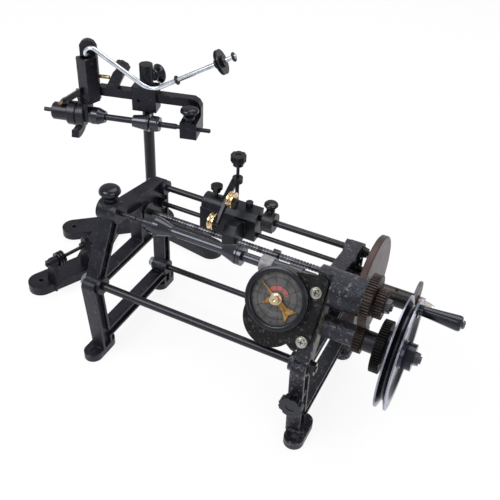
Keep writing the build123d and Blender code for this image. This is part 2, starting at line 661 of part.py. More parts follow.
with BuildPart() as disc_pulley:
    with BuildSketch(along_x(disc_y, disc_z)):
        outline((pulley_x, disc_tube_r + seat_clearance), (pulley_x, pulley_r - 0.5),
                (pulley_x + 0.5, pulley_r), (pulley_x + pulley_thickness - 0.5, pulley_r),
                (pulley_x + pulley_thickness, pulley_r - 0.5),
                (pulley_x + pulley_thickness, disc_tube_r + seat_clearance))
    revolve(axis=axis_x(disc_y, disc_z))
save(disc_pulley.part, "disc_pulley")

with BuildPart() as axle_collar:
    with BuildSketch(along_x(disc_y, disc_z)):
        inner = disc_axle_d / 2 + seat_clearance
        outline((disc_tube_end + side_clearance, inner), (disc_tube_end + side_clearance, 10.0),
                (disc_hub_end, 10.0), (disc_hub_end, inner))
    revolve(axis=axis_x(disc_y, disc_z))
    add(hex_nut(across_x(disc_hub_end, disc_y, disc_z), 13.0, 9.0, disc_axle_d / 2 + seat_clearance))
save(axle_collar.part, "axle_collar_nut")

# ------------------------------------------------------------------ leg knob
with BuildPart() as leg_knob:
    leg_knob_seat = Plane(origin=(leg_centre_x, leg_front_y - side_clearance, knob_leg_z), x_dir=(1, 0, 0),
                          z_dir=(0, -1, 0))
    add(star_knob(leg_knob_seat, 14.0, 8.0, 8.0, 4.0, leg_knob_screw_d / 2, leg_knob_run + 1.0))
save(leg_knob.part, "leg_knob")

# ------------------------------------------------------------------ counter
dial_x, dial_t = right_frame_end - 50.4, 64.5
counter_seat = counter_pad + face_gap
plate_top = 16.0
drum_r, drum_top = 35.0, 24.0
dial_r, dial_bottom, dial_thickness = 29.5, 18.5, 0.8
lobe_x, lobe_t, lobe_r, lobe_bottom = right_frame_end - 53.0, 40.5, 32.0, -2.0
plate_corners = (
    # from the headstock's outer face, height along the member
    (-22.0, 16.0), (-18.0, 15.0), (-4.5, 32.0), (-2.0, 96.0), (-8.0, 103.0), (-26.0, 100.0),
)
gear_space_r, gear_space_bottom = 17.0, 11.8
arbor_d = 3.0
pipe_d = 6.0
counter_axis_plane = on_incline(dial_x, dial_t, 0)
counter_axis = Axis(counter_axis_plane.origin, counter_axis_plane.z_dir)


def counter_level(height):
    """Plane square to the counter's arbor at a height above the inclined member's centre line."""
    return on_incline(dial_x, dial_t, height)


with BuildPart() as counter_housing:
    with BuildSketch(on_incline(0, 0, counter_seat)):
        Polygon((dial_x, dial_t - drum_r + 4), *((right_frame_end + x, t) for x, t in plate_corners),
                (dial_x, dial_t + drum_r - 4), align=None)
        with Locations((dial_x, dial_t)):
            Circle(drum_r)
    extrude(amount=plate_top - counter_seat)
    with BuildSketch(counter_level(plate_top)):
        Circle(drum_r)
    extrude(amount=drum_top - plate_top)
    with BuildSketch(on_incline(lobe_x, lobe_t, lobe_bottom)):
        Circle(lobe_r)
    extrude(amount=plate_top - 1.5 - lobe_bottom)
    with BuildSketch(counter_level(dial_bottom)):
        Circle(dial_r + seat_clearance)
    extrude(amount=drum_top - dial_bottom, mode=Mode.SUBTRACT)
    with BuildSketch(counter_level(gear_space_bottom)):
        Circle(gear_space_r)
    extrude(amount=dial_bottom - gear_space_bottom, mode=Mode.SUBTRACT)
    with BuildSketch(on_incline(0, 0, lobe_bottom)):
        with Locations(*((counter_screw_x, t) for t in counter_screws_t)):
            Circle(counter_screw_d / 2 + seat_clearance)
    extrude(amount=drum_top, mode=Mode.SUBTRACT)
    spindle_room = 10.2
    with BuildSketch(across_x(left_boss_face, spindle_y, spindle_z)):
        Circle(spindle_room)
    extrude(amount=rod_span, mode=Mode.SUBTRACT)
save(counter_housing.part, "counter_housing")

with BuildPart() as counter_dial:
    with BuildSketch(counter_level(dial_bottom + seat_clearance)):
        Circle(dial_r)
        Circle(pipe_d / 2 + 0.4, mode=Mode.SUBTRACT)
    extrude(amount=dial_thickness)
save(counter_dial.part, "counter_dial")

dial_top = dial_bottom + seat_clearance + dial_thickness
short_hand_level = dial_top + 1.0
long_hand_level = short_hand_level + 1.4
hand_thickness = 0.7
short_hand_angle, long_hand_angle = 212.0, 146.0
with BuildPart() as short_hand:
    with BuildSketch(counter_level(short_hand_level)):
        Circle(4.6)
        with Locations(Rotation(0, 0, short_hand_angle)):
            Polygon((2, -2.6), (9, -3.6), (18, 0), (9, 2.2), (2, 2.6), align=None)
        Circle(arbor_d / 2 + running_clearance, mode=Mode.SUBTRACT)
    extrude(amount=hand_thickness)
    with BuildSketch(counter_level(short_hand_level)):
        Circle(pipe_d / 2 - 0.4)
        Circle(arbor_d / 2 + running_clearance, mode=Mode.SUBTRACT)
    extrude(amount=-(short_hand_level - dial_bottom + 2.0))
    with BuildSketch(counter_level(dial_bottom - 2.0)):
        Circle(9.0)
        Circle(arbor_d / 2 + running_clearance, mode=Mode.SUBTRACT)
    extrude(amount=1.5)
save(short_hand.part, "counter_short_hand")

with BuildPart() as long_hand:
    with BuildSketch(counter_level(long_hand_level)):
        Circle(5.6)
        with Locations(Rotation(0, 0, long_hand_angle)):
            Polygon((3, -1.8), (26.5, 0), (3, 1.8), align=None)
        with Locations(Rotation(0, 0, long_hand_angle + 180)):
            Polygon((3, -3.0), (14, -3.2), (24.5, -8.5), (21.5, 0), (24.5, 8.5), (14, 3.2), (3, 3.0), align=None)
    extrude(amount=hand_thickness)
    with BuildSketch(counter_level(gear_space_bottom + 0.4)):
        Circle(arbor_d / 2)
    extrude(amount=long_hand_level - gear_space_bottom)
    with BuildSketch(counter_level(gear_space_bottom + 0.4)):
        Circle(gear_space_r - 1.5)
    extrude(amount=2.5)
    nut_level = long_hand_level + hand_thickness
    with BuildSketch(counter_level(nut_level)):
        Circle(6.6)
    extrude(amount=1.6)
    with BuildSketch(counter_level(nut_level + 1.6)):
        Circle(5.4)
    extrude(amount=6.0, taper=4)
    with BuildSketch(counter_level(nut_level + 5.2)):
        Circle(1.6)
    extrude(amount=3.0, mode=Mode.SUBTRACT)
save(long_hand.part, "counter_long_hand")

counter_washer_r, counter_head_r = 6.3, 4.7
with BuildPart() as counter_screws:
    for t, depth in zip(counter_screws_t, counter_screw_depths):
        with BuildSketch(on_incline(counter_screw_x, t, plate_top + face_gap)):
            Circle(counter_washer_r)
        extrude(amount=1.2)
        with BuildSketch(on_incline(counter_screw_x, t, plate_top + face_gap + 1.2)):
            Circle(counter_head_r)
        extrude(amount=2.6, taper=18)
        with BuildSketch(on_incline(counter_screw_x, t, plate_top + face_gap + 4.0)):
            Rectangle(1.2, 5.0)
            Rectangle(5.0, 1.2)
        extrude(amount=-1.6, mode=Mode.SUBTRACT)
        with BuildSketch(on_incline(counter_screw_x, t, plate_top + face_gap)):
            Circle(counter_screw_d / 2)
        extrude(amount=-(plate_top - counter_pad + depth - 0.2))
save(counter_screws.part, "counter_screws")

# ------------------------------------------------------------------ traverse
lead_left = left_frame_x + frame_thickness - lead_screw_seat + side_clearance
lead_right = right_frame_x + lead_screw_seat - side_clearance
thread_pitch, thread_depth = 4.0, 0.7
thread_start, thread_end = 40.0, 250.0
lead_collar = (186.0, 194.0, 7.0)
with BuildPart() as lead_screw:
    with BuildSketch(along_x(screw_boss_y, screw_boss_z)):
        turned_outline((lead_left, lead_screw_d / 2), (lead_right, lead_screw_d / 2))
        with Locations(*((thread_start + i * thread_pitch, lead_screw_d / 2)
                         for i in range(int((thread_end - thread_start) / thread_pitch)))):
            Rectangle(thread_pitch * 0.4, 2 * thread_depth, mode=Mode.SUBTRACT)
    revolve(axis=axis_x(screw_boss_y, screw_boss_z))
    with BuildSketch(across_x(lead_collar[0], screw_boss_y, screw_boss_z)):
        Circle(lead_collar[2])
    extrude(amount=lead_collar[1] - lead_collar[0])
save(lead_screw.part, "lead_screw")

carriage_left, carriage_step, carriage_right = 74.0, 106.0, 151.0
sleeve_od = 26.0
carriage_front_y, carriage_back_y = 144.0, 168.0
carriage_low_z, carriage_top_z = 142.0, 183.0
arm_x, arm_thickness = 116.5, 4.0
upper_roller = (132.0, 207.0)
lower_roller = (107.0, 187.0)
roller_d, roller_width, roller_pin_d = 20.0, 7.0, 4.0
carriage_post_x = 117.0
ring_z = 217.0
carriage_knob_seat_z = 238.0
follower = (121.0, 137.0)
small_knob_x = 89.0
cap_x = 134.8
with BuildPart() as carriage_body:
    with BuildSketch(across_x(carriage_left, guide_y, guide_z)):
        Circle(sleeve_od / 2)
    extrude(amount=carriage_step - carriage_left)
    with BuildSketch(across_x(carriage_left)):
        outline((carriage_front_y, carriage_low_z), (carriage_back_y, carriage_low_z), (carriage_back_y, guide_z),
                (carriage_front_y, guide_z))
    extrude(amount=carriage_step - carriage_left)
    with BuildSketch(across_x(carriage_step)):
        outline((carriage_front_y, carriage_low_z + 4), (carriage_back_y - 2, carriage_low_z + 4),
                (carriage_back_y, carriage_top_z), (carriage_front_y + 6, carriage_top_z),
                (carriage_front_y, carriage_top_z - 8))
    extrude(amount=carriage_right - carriage_step)
    with BuildSketch(across_x(follower[0])):
        outline((screw_boss_y - 9, screw_boss_z - 10), (carriage_front_y + 1, screw_boss_z - 8),
                (carriage_front_y + 1, screw_boss_z + 15), (screw_boss_y + 9, screw_boss_z + 22),
                (screw_boss_y - 1, screw_boss_z + 22), (screw_boss_y - 9, screw_boss_z + 12))
    extrude(amount=follower[1] - follower[0])
    with Locations((cap_x, guide_y, carriage_top_z)):
        Cylinder(4.6, 8.0, align=(Align.CENTER, Align.CENTER, Align.MIN))
    with BuildSketch(Plane.XY.offset(carriage_top_z - 6)):
        with Locations((carriage_post_x, guide_y)):
            Circle(2.4)
    extrude(amount=ring_z - carriage_top_z + 10)
    with BuildSketch(Plane.XY.offset(ring_z - 3)):
        with Locations((carriage_post_x, guide_y)):
            Circle(6.5)
    extrude(amount=7.0)
    bracket_half = 4.0
    with BuildSketch(Plane.XZ.offset(-guide_y - bracket_half)):
        outline((small_knob_x + 8, guide_z + sleeve_od / 2 - 2), (small_knob_x + 17, guide_z + sleeve_od / 2 - 2),
                (carriage_post_x, ring_z - 3), (carriage_post_x, ring_z + 2), (carriage_post_x - 6, ring_z + 2))
    extrude(amount=2 * bracket_half)
    for y, z, bore in ((guide_y, guide_z, guide_d), (lower_guide_y, lower_guide_z, lower_guide_d),
                       (screw_boss_y, screw_boss_z, lead_screw_d)):
        with BuildSketch(across_x(carriage_left, y, z)):
            Circle(bore / 2 + running_clearance)
        extrude(amount=carriage_right - carriage_left, mode=Mode.SUBTRACT)
    with Locations((small_knob_x, guide_y, guide_z + sleeve_od / 2)):
        Hole(2.0 + running_clearance, depth=6.0)
    with Locations((carriage_post_x, guide_y, ring_z + 4.0)):
        Hole(2.0 + running_clearance, depth=9.0)
save(carriage_body.part, "carriage_body")

with BuildPart() as roller_arm:
    with BuildSketch(across_x(arm_x)):
        bar(lower_roller, upper_roller, 7.0)
        bar(upper_roller, (carriage_front_y + 7.0, carriage_top_z + 8.0), 7.0)
        outline((carriage_front_y + 2, carriage_top_z + face_gap), (carriage_front_y + 13, carriage_top_z + face_gap),
                (carriage_front_y + 10, carriage_top_z + 12), (carriage_front_y + 1, carriage_top_z + 12))
    extrude(amount=arm_thickness)
    for (y, z), way in ((upper_roller, 1), (lower_roller, -1)):
        start = arm_x + arm_thickness if way > 0 else arm_x
        with BuildSketch(across_x(start, y, z)):
            Circle(roller_pin_d / 2)
        extrude(amount=way * (roller_width + 2 * side_clearance))
        with BuildSketch(across_x(start + way * (roller_width + 2 * side_clearance), y, z)):
            Circle(roller_pin_d * 0.8)
        extrude(amount=way * 2.0)
save(roller_arm.part, "roller_arm")

for name, (y, z), start in (("upper_roller", upper_roller, arm_x + arm_thickness + side_clearance),
                            ("lower_roller", lower_roller, arm_x - side_clearance - roller_width)):
    with BuildPart() as roller:
        with BuildSketch(along_x(y, z)):
            inner = roller_pin_d / 2 + running_clearance
            outline((start, inner), (start, roller_d / 2), (start + 1.4, roller_d / 2),
                    (start + roller_width / 2, roller_d / 2 - 2.4), (start + roller_width - 1.4, roller_d / 2),
                    (start + roller_width, roller_d / 2), (start + roller_width, inner))
        revolve(axis=axis_x(y, z))
    save(roller.part, name)

carriage_knob = star_knob(Plane(origin=(carriage_post_x, guide_y, carriage_knob_seat_z)), 9.5, 8.0, 6.5, 6.0,
                          2.0, carriage_knob_seat_z - ring_z + 4.0)
save(carriage_knob, "carriage_star_knob")

with BuildPart() as small_knob:
    with BuildSketch(Plane.XY.offset(guide_z + sleeve_od / 2 - 5.0)):
        with Locations((small_knob_x, guide_y)):
            Circle(2.0)
    extrude(amount=12.0)
    with BuildSketch(Plane.XY.offset(guide_z + sleeve_od / 2 + 6.0)):
        with Locations((small_knob_x, guide_y)):
            Circle(5.0)
    extrude(amount=5.0)
    with BuildSketch(Plane.XY.offset(guide_z + sleeve_od / 2 + 11.0)):
        with Locations((small_knob_x, guide_y)):
            Circle(7.6)
    extrude(amount=4.0)
save(small_knob.part, "carriage_small_knob")

stop_x, stop_length, stop_r = 156.0, 15.0, 12.0
stop_foot = 10.0
with BuildPart() as stop_block:
    with BuildSketch(across_x(stop_x)):
        with Locations((guide_y, guide_z)):
            Circle(stop_r)
        outline((guide_y - stop_r, guide_z), (guide_y + stop_r, guide_z), (guide_y + stop_r - 2, guide_z - stop_foot),
                (guide_y - stop_r + 2, guide_z - stop_foot))
    extrude(amount=stop_length)
    with BuildSketch(across_x(stop_x, guide_y, guide_z)):
        Circle(guide_d / 2 + running_clearance)
    extrude(amount=stop_length, mode=Mode.SUBTRACT)
    with Locations((stop_x + stop_length / 2, guide_y, guide_z + stop_r)):
        Hole(2.0 + running_clearance, depth=stop_r - guide_d / 2)
save(stop_block.part, "stop_block")

stop_stem_rise = 3.5
stop_knob_seat = Plane(origin=(stop_x + stop_length / 2, guide_y, guide_z + stop_r + stop_stem_rise))
stop_knob = mushroom_knob(stop_knob_seat, 8.8, 8.0, 5.5, 5.0, 2.0,
                          stop_r + stop_stem_rise - guide_d / 2 - side_clearance)
save(stop_knob, "stop_knob")

# ------------------------------------------------------------------ stand
post_x, post_y = -89.0, 280.0
post_d = 16.0
post_top = 266.0
base_thickness = 13.0
tongue_width = 36.0
hub_r = 34.0
stand_hole_d = 6.5
tongue_1 = ((-142.0, 72.0), (-112.0, 138.0), (-125.0, 180.0), (-140.0, 235.0))
tongue_2 = (-181.0, 198.0)
tongue_4 = (27.0, 262.0)
post_seat = 10.0
lug_1, lug_2 = (-120.0, 76.0), (-104.0, 130.0)
lug_screw_d = 4.0
with BuildPart() as stand_base:
    with BuildSketch(Plane.XY):
        for start, end in zip(tongue_1, tongue_1[1:]):
            bar(start, end, tongue_width)
        bar(tongue_1[-1], (post_x, post_y), tongue_width)
        bar(tongue_2, (post_x, post_y), tongue_width)
        bar(tongue_4, (post_x, post_y), tongue_width)
        with Locations((post_x, post_y)):
            Circle(hub_r)
    extrude(amount=base_thickness)
    with BuildSketch(Plane.XY.offset(base_thickness)):
        with Locations((post_x, post_y)):
            Circle(post_d)
    extrude(amount=12.0, taper=8)
    with BuildSketch(Plane.XY):
        with Locations(tongue_1[0], tongue_2, tongue_4):
            Circle(stand_hole_d / 2)
    extrude(amount=base_thickness, mode=Mode.SUBTRACT)
    with BuildSketch(Plane.XY.offset(base_thickness - post_seat)):
        with Locations((post_x, post_y)):
            Circle(post_d / 2 + seat_clearance)
    extrude(amount=post_seat + 12.0, mode=Mode.SUBTRACT)
    with BuildSketch(Plane.XY):
        with Locations(lug_1, lug_2):
            Circle(lug_screw_d / 2 + seat_clearance)
    extrude(amount=base_thickness, mode=Mode.SUBTRACT)
save(stand_base.part, "stand_base")

with BuildPart() as stand_post:
    with BuildSketch(Plane.XY.offset(base_thickness - post_seat)):
        with Locations((post_x, post_y)):
            Circle(post_d / 2)
    extrude(amount=post_top - base_thickness + post_seat)
save(stand_post.part, "stand_post")

# ------------------------------------------------------------------ wire guide on the stand's front tongue
guide_pulley_z = 52.0
guide_rod_d = 5.0
lug_run = (lug_2[0] - lug_1[0], lug_2[1] - lug_1[1])
lug_gap = hypot(*lug_run)
lug_dir = (lug_run[0] / lug_gap, lug_run[1] / lug_gap, 0)
lug_side = (lug_dir[1], -lug_dir[0], 0)
lug_thickness = 7.0
pulley_place = (-9.0, 2.0)


def lug_plane(along):
    """Plane square to the wire guide's rod; x runs to the machine's side and y is the height."""
    place = (lug_1[0] + lug_dir[0] * along, lug_1[1] + lug_dir[1] * along, 0)
    return Plane(origin=place, x_dir=lug_side, z_dir=(-lug_dir[0], -lug_dir[1], 0))


lug_boss = 4.0
pulley_length = 10.0
rod_front = -lug_thickness / 2 - lug_boss - 2.5
pulley_start = lug_thickness / 2 + lug_boss + side_clearance
with BuildPart() as wire_guide_lugs:
    for along, top in ((0.0, 58.0), (lug_gap, 66.0)):
        with BuildSketch(lug_plane(along - lug_thickness / 2)):
            outline((-13.0, base_thickness + face_gap), (13.0, base_thickness + face_gap), (13.0, base_thickness + 6),
                    (5.5, top - 4), (3.5, top), (-3.5, top), (-5.5, top - 4), (-13.0, base_thickness + 6))
        extrude(amount=-lug_thickness)
        with BuildSketch(lug_plane(along - lug_thickness / 2 - lug_boss)):
            with Locations((0, guide_pulley_z)):
                Circle(6.0)
        extrude(amount=-(lug_thickness + 2 * lug_boss))
    with BuildSketch(lug_plane(rod_front)):
        with Locations((0, guide_pulley_z)):
            Circle(guide_rod_d / 2)
    extrude(amount=-(lug_gap - rod_front))
    for place in (lug_1, lug_2):
        with BuildSketch(Plane.XY):
            with Locations(place):
                Circle(lug_screw_d / 2)
        extrude(amount=base_thickness + 6.0)
    with BuildSketch(Plane.XY.offset(66.0)):
        with Locations(lug_2):
            Circle(3.6)
    extrude(amount=3.0)
    with BuildSketch(Plane.XY.offset(69.0)):
        with Locations(lug_2):
            Rectangle(1.0, 8.0)
    extrude(amount=-1.2, mode=Mode.SUBTRACT)
    with BuildSketch(lug_plane(pulley_start + pulley_length + side_clearance)):
        with Locations((0, guide_pulley_z)):
            Circle(guide_rod_d / 2 + 2.0)
    extrude(amount=-2.0)
save(wire_guide_lugs.part, "wire_guide_lugs")

pulley_rim, pulley_groove = 10.0, 7.0
with BuildPart() as wire_guide_pulley:
    for step, radius in enumerate((pulley_rim, pulley_groove, pulley_rim, pulley_groove, pulley_rim)):
        with BuildSketch(lug_plane(pulley_start + step * pulley_length / 5)):
            with Locations((0, guide_pulley_z)):
                Circle(radius)
                Circle(guide_rod_d / 2 + running_clearance, mode=Mode.SUBTRACT)
        extrude(amount=-pulley_length / 5)
save(wire_guide_pulley.part, "wire_guide_pulley")

# ------------------------------------------------------------------ spool head
head_yaw = 15.5
head_u = (cos(radians(head_yaw)), sin(radians(head_yaw)), 0)
head_n = (sin(radians(head_yaw)), -cos(radians(head_yaw)), 0)
spool_forward, spool_z = 24.0, 195.0


def head_point(along, forward, z):
    """Point of the spool head: along its arms, forward of the post's axis, and up."""
    return (
        post_x + along * head_u[0] + forward * head_n[0],
        post_y + along * head_u[1] + forward * head_n[1],
        z,
    )


def head_front(forward):
    """Plane facing the head's front, with its x along the arms and its y as the height."""
    return Plane(origin=head_point(0, forward, 0), x_dir=head_u, z_dir=head_n)


def head_across(along):
    """Plane square to the head's arms; its x runs forward (minus) and its y is the height."""
    return Plane(origin=head_point(along, 0, 0), x_dir=tuple(-v for v in head_n), z_dir=head_u)


def head_plan(z):
    """Level plane over the post, with its x along the arms and its y backward."""
    return Plane(origin=(post_x, post_y, z), x_dir=head_u, z_dir=(0, 0, 1))


spool_plane = Plane(origin=head_point(0, spool_forward, spool_z), x_dir=head_u, z_dir=head_n)
spool_axis = Axis(head_point(0, spool_forward, spool_z), head_u)
arm_half, arm_bottom, arm_top = 6.5, 218.5, 231.5
arm_left, arm_right = -70.0, 80.0
boss_left, boss_right, boss_bottom, boss_top = -19.0, 16.0, 205.0, 241.0
stub_r, stub_top = 9.5, 272.0
block = (56.0, 80.0, 183.0, 207.0, 34.0)
centre_pin_d = 6.0
block_knob_along = 68.0
clamp_dir = (0.6 * head_u[0] - 0.8 * head_n[0], 0.6 * head_u[1] - 0.8 * head_n[1], 0)
clamp_z = 252.0
clamp_screw_d = 5.0
lug_foot, lug_head = (-52.0, 228.0), (-40.0, 252.0)
lug_width = 15.0
star_tilt = atan2(lug_head[1] - lug_foot[1], lug_head[0] - lug_foot[0])
with BuildPart() as head_casting:
    with BuildSketch(head_front(arm_half)):
        outline((arm_left, arm_bottom), (62.0, arm_bottom), (66.0, arm_bottom - 4), (67.0, block[2]), (arm_right, block[2]),
                (arm_right, arm_top - 11), (arm_right - 4, arm_top - 4), (arm_right - 11, arm_top),
                (arm_left, arm_top))
        bar(lug_foot, lug_head, lug_width)
    extrude(amount=-2 * arm_half)
    with BuildSketch(head_front(block[4])):
        outline((block[0], block[2]), (block[1], block[2]), (block[1], block[3]), (block[0], block[3]))
    extrude(amount=-(block[4] - arm_half))
    with BuildSketch(head_plan(boss_bottom)):
        outline((boss_left, -12.0), (boss_right, -12.0), (boss_right, 11.0), (boss_left, 11.0))
    extrude(amount=boss_top - boss_bottom)
    with BuildSketch(head_plan(boss_top)):
        Circle(stub_r)
    extrude(amount=stub_top - boss_top)
    with BuildSketch(Plane(origin=(post_x, post_y, clamp_z), x_dir=(0, 0, 1), z_dir=clamp_dir)):
        Circle(7.0)
    extrude(amount=12.0)
    with BuildSketch(head_plan(boss_bottom)):
        Circle(post_d / 2 + running_clearance)
    extrude(amount=post_top + side_clearance - boss_bottom, mode=Mode.SUBTRACT)
    with BuildSketch(Plane(origin=(post_x, post_y, clamp_z), x_dir=(0, 0, 1), z_dir=clamp_dir)):
        Circle(clamp_screw_d / 2 + running_clearance)
    extrude(amount=12.0, mode=Mode.SUBTRACT)
    with BuildSketch(head_across(block[0])):
        with Locations((-spool_forward, spool_z)):
            Circle(centre_pin_d / 2 + running_clearance)
    extrude(amount=block[1] - block[0], mode=Mode.SUBTRACT)
    with BuildSketch(head_plan(block[3])):
        with Locations((block_knob_along, -spool_forward)):
            Circle(2.5 + running_clearance)
    extrude(amount=-(block[3] - spool_z), mode=Mode.SUBTRACT)
    with BuildSketch(head_front(12.0)):
        with Locations((-9.0, 221.0)):
            Circle(2.6)
    extrude(amount=-3.0, mode=Mode.SUBTRACT)
    star_dir = (cos(star_tilt), sin(star_tilt))
    star_top = (lug_head[0] + star_dir[0] * lug_width / 2, lug_head[1] + star_dir[1] * lug_width / 2)
    star_axis = (star_dir[0] * head_u[0], star_dir[0] * head_u[1], star_dir[1])
    with BuildSketch(Plane(origin=head_point(star_top[0], 0, star_top[1]), x_dir=head_n, z_dir=star_axis)):
        Circle(2.0 + running_clearance)
    extrude(amount=-12.0, mode=Mode.SUBTRACT)
save(head_casting.part, "head_casting")

clamp_seat = Plane(origin=(post_x + clamp_dir[0] * (12.0 + side_clearance), post_y + clamp_dir[1] * (12.0 + side_clearance),
                           clamp_z), x_dir=(0, 0, 1), z_dir=clamp_dir)
clamp_reach = 12.0 + side_clearance - post_d / 2 - side_clearance
head_clamp_knob = mushroom_knob(clamp_seat, 14.0, 10.0, 8.0, 4.0, clamp_screw_d / 2, clamp_reach)
save(head_clamp_knob, "head_clamp_knob")

star_seat = Plane(origin=head_point(star_top[0] + star_dir[0] * side_clearance, 0,
                                    star_top[1] + star_dir[1] * side_clearance), x_dir=head_n, z_dir=star_axis)
box_clamp = star_knob(star_seat, 10.5, 6.0, 6.0, 3.0, 2.0, 11.0)
save(box_clamp, "box_clamp_knob")

# ------------------------------------------------------------------ spool spindle and brake
bearing_left, bearing_right = -83.5, -77.5
spool_rod_d = 9.0
with BuildPart() as spool_spindle:
    with BuildSketch(spool_plane):
        turned_outline((-147.0, 3.0), (-133.0, 3.0), (-133.0, spool_rod_d / 2), (25.5, spool_rod_d / 2), (25.5, 4.0), (49.0, 4.0))
    revolve(axis=spool_axis)
    with BuildSketch(spool_plane):
        turned_outline((43.0, 1.2), (45.5, 3.2), (49.5, 3.2))
    revolve(axis=spool_axis, mode=Mode.SUBTRACT)
save(spool_spindle.part, "spool_spindle")

with BuildPart() as spool_cones:
    with BuildSketch(spool_plane):
        bore = spool_rod_d / 2 + seat_clearance
        outline((bearing_right + side_clearance, bore), (bearing_right + side_clearance, 11.5), (-73.0, 12.5),
                (-65.0, 12.0), (-55.0, 8.0), (-55.0, bore))
    revolve(axis=spool_axis)
    with BuildSketch(spool_plane):
        outline((-14.0, bore), (-14.0, 8.5), (7.0, 11.5), (8.0, 12.5), (10.0, 12.5), (10.0, bore))
    revolve(axis=spool_axis)
    with BuildSketch(spool_plane):
        outline((10.0, bore), (10.0, 7.5), (12.5, 7.5), (12.5, 11.0), (22.0, 11.0), (23.0, 10.0), (25.0, 10.0), (25.0, bore))
    revolve(axis=spool_axis)
save(spool_cones.part, "spool_cones")

with BuildPart() as brake_drum:
    with BuildSketch(spool_plane):
        outline((-133.0, bore), (-133.0, 11.0), (-131.5, 12.5), (-109.0, 12.5), (-109.0, 16.0), (-108.0, 17.0), (-97.0, 17.0),
                (-96.0, 15.0), (-94.0, 15.0), (-93.0, 17.0), (-85.0, 17.0), (bearing_left - side_clearance, 15.5),
                (bearing_left - side_clearance, bore))
    revolve(axis=spool_axis)
save(brake_drum.part, "brake_drum")

with BuildPart() as centre_pin:
    with BuildSketch(spool_plane):
        turned_outline((44.6, 0.9), (46.2, 2.4), (51.0, centre_pin_d / 2), (97.0, centre_pin_d / 2), (98.0, centre_pin_d / 2 - 1))
    revolve(axis=spool_axis)
save(centre_pin.part, "centre_pin")

centre_seat = Plane(origin=head_point(block_knob_along, spool_forward, block[3] + 1.8), x_dir=head_u, z_dir=(0, 0, 1))
with BuildPart() as centre_knob:
    add(mushroom_knob(centre_seat, 13.0, 12.0, 7.5, 7.0, 2.5, block[3] + 1.8 - spool_z - centre_pin_d / 2 - side_clearance))
    with BuildSketch(centre_seat):
        Circle(10.0)
    extrude(amount=-1.5)
save(centre_knob.part, "centre_knob")

# ------------------------------------------------------------------ tension box
box_side, box_turn = 20.0, 30.0
box_along, box_forward = -79.0, 17.0
box_bottom, box_top = 214.0, 279.0
cavity_r, cavity_bottom = 8.2, 248.0
arm_pivot_z, arm_pin_d = 256.0, 2.4
strut_front = 28.0
plate_left, plate_right = -93.0, arm_left - face_gap
lever_in, lever_out = 25.5, 36.0
lever_left, lever_right = -106.0, -95.0
lever_start, lever_end = 253.0, 399.0
lever_pin_d = 4.0
lever_mid = (lever_in + lever_out) / 2
pivot_back = -spool_forward + lever_mid * cos(radians(lever_end))
pivot_z = spool_z + lever_mid * sin(radians(lever_end))
with BuildPart() as tension_box:
    with BuildSketch(head_plan(box_bottom)):
        with Locations(Location((box_along, -box_forward, 0), (0, 0, -box_turn))):
            Rectangle(box_side, box_side)
    extrude(amount=box_top - box_bottom)
    with BuildSketch(head_front(5.0)):
        outline((plate_left, box_bottom - 4), (plate_right, box_bottom - 4), (plate_right, 290.0), (plate_right - 4, 296.0),
                (plate_right - 9, 298.0), (plate_left + 9, 298.0), (plate_left + 4, 296.0), (plate_left, 290.0))
    extrude(amount=-8.0)
    with BuildSketch(head_across(bearing_left)):
        outline((-spool_forward + 11, spool_z), (-spool_forward - 11, spool_z), (-spool_forward - 8, box_bottom + 1),
                (-spool_forward + 14, box_bottom + 1))
        with Locations((-spool_forward, spool_z)):
            Circle(11.0)
    extrude(amount=bearing_right - bearing_left)
    with BuildSketch(head_front(strut_front)):
        outline((-88.0, 236.0), (-88.0, 226.0), (-113.0, 208.6), (-120.5, 208.6), (-120.5, 213.0), (-115.0, 216.0))
    extrude(amount=-10.0)
    with BuildSketch(head_across(plate_left)):
        with Locations((pivot_back, pivot_z)):
            Circle(lever_pin_d / 2)
    extrude(amount=-(plate_left - lever_left + 1.0))
    with BuildSketch(head_plan(box_top)):
        with Locations((box_along, -box_forward)):
            Circle(cavity_r)
    extrude(amount=-(box_top - cavity_bottom), mode=Mode.SUBTRACT)
    with BuildSketch(head_front(box_forward + cavity_r + 0.5)):
        with Locations((box_along, arm_pivot_z)):
            Circle(arm_pin_d / 2)
    extrude(amount=-2 * cavity_r - 1.0)
    with BuildSketch(head_across(bearing_left)):
        with Locations((-spool_forward, spool_z)):
            Circle(spool_rod_d / 2 + running_clearance)
    extrude(amount=bearing_right - bearing_left, mode=Mode.SUBTRACT)
save(tension_box.part, "tension_box")

thumb_heights = (270.0, 257.5)
box_turned = radians(box_turn)
thumb_dir = tuple(-a * cos(box_turned) - b * sin(box_turned) for a, b in zip(head_u, head_n))
thumb_along = box_along - box_side / 2 * cos(box_turned)
thumb_forward = box_forward - box_side / 2 * sin(box_turned)
brass_pin_r, brass_pin_z, brass_pin_forward = 2.6, 247.5, 5.0
with BuildPart() as box_screws:
    for z in thumb_heights:
        seat = Plane(origin=head_point(thumb_along, thumb_forward, z), x_dir=(0, 0, 1), z_dir=thumb_dir)
        with BuildSketch(seat.offset(face_gap)):
            Circle(1.5)
        extrude(amount=7.0)
        with BuildSketch(seat.offset(7.0)):
            Rectangle(8.0, 2.2)
            Circle(2.4)
        extrude(amount=4.0)
    with BuildSketch(head_across(arm_left + face_gap)):
        with Locations((-brass_pin_forward, brass_pin_z)):
            Circle(brass_pin_r)
    extrude(amount=17.8)
    with BuildSketch(head_front(strut_front + face_gap)):
        with Locations((-117.0, 213.0)):
            Circle(2.4)
            Rectangle(9.0, 2.2, rotation=35)
    extrude(amount=6.0)
save(box_screws.part, "box_screws")

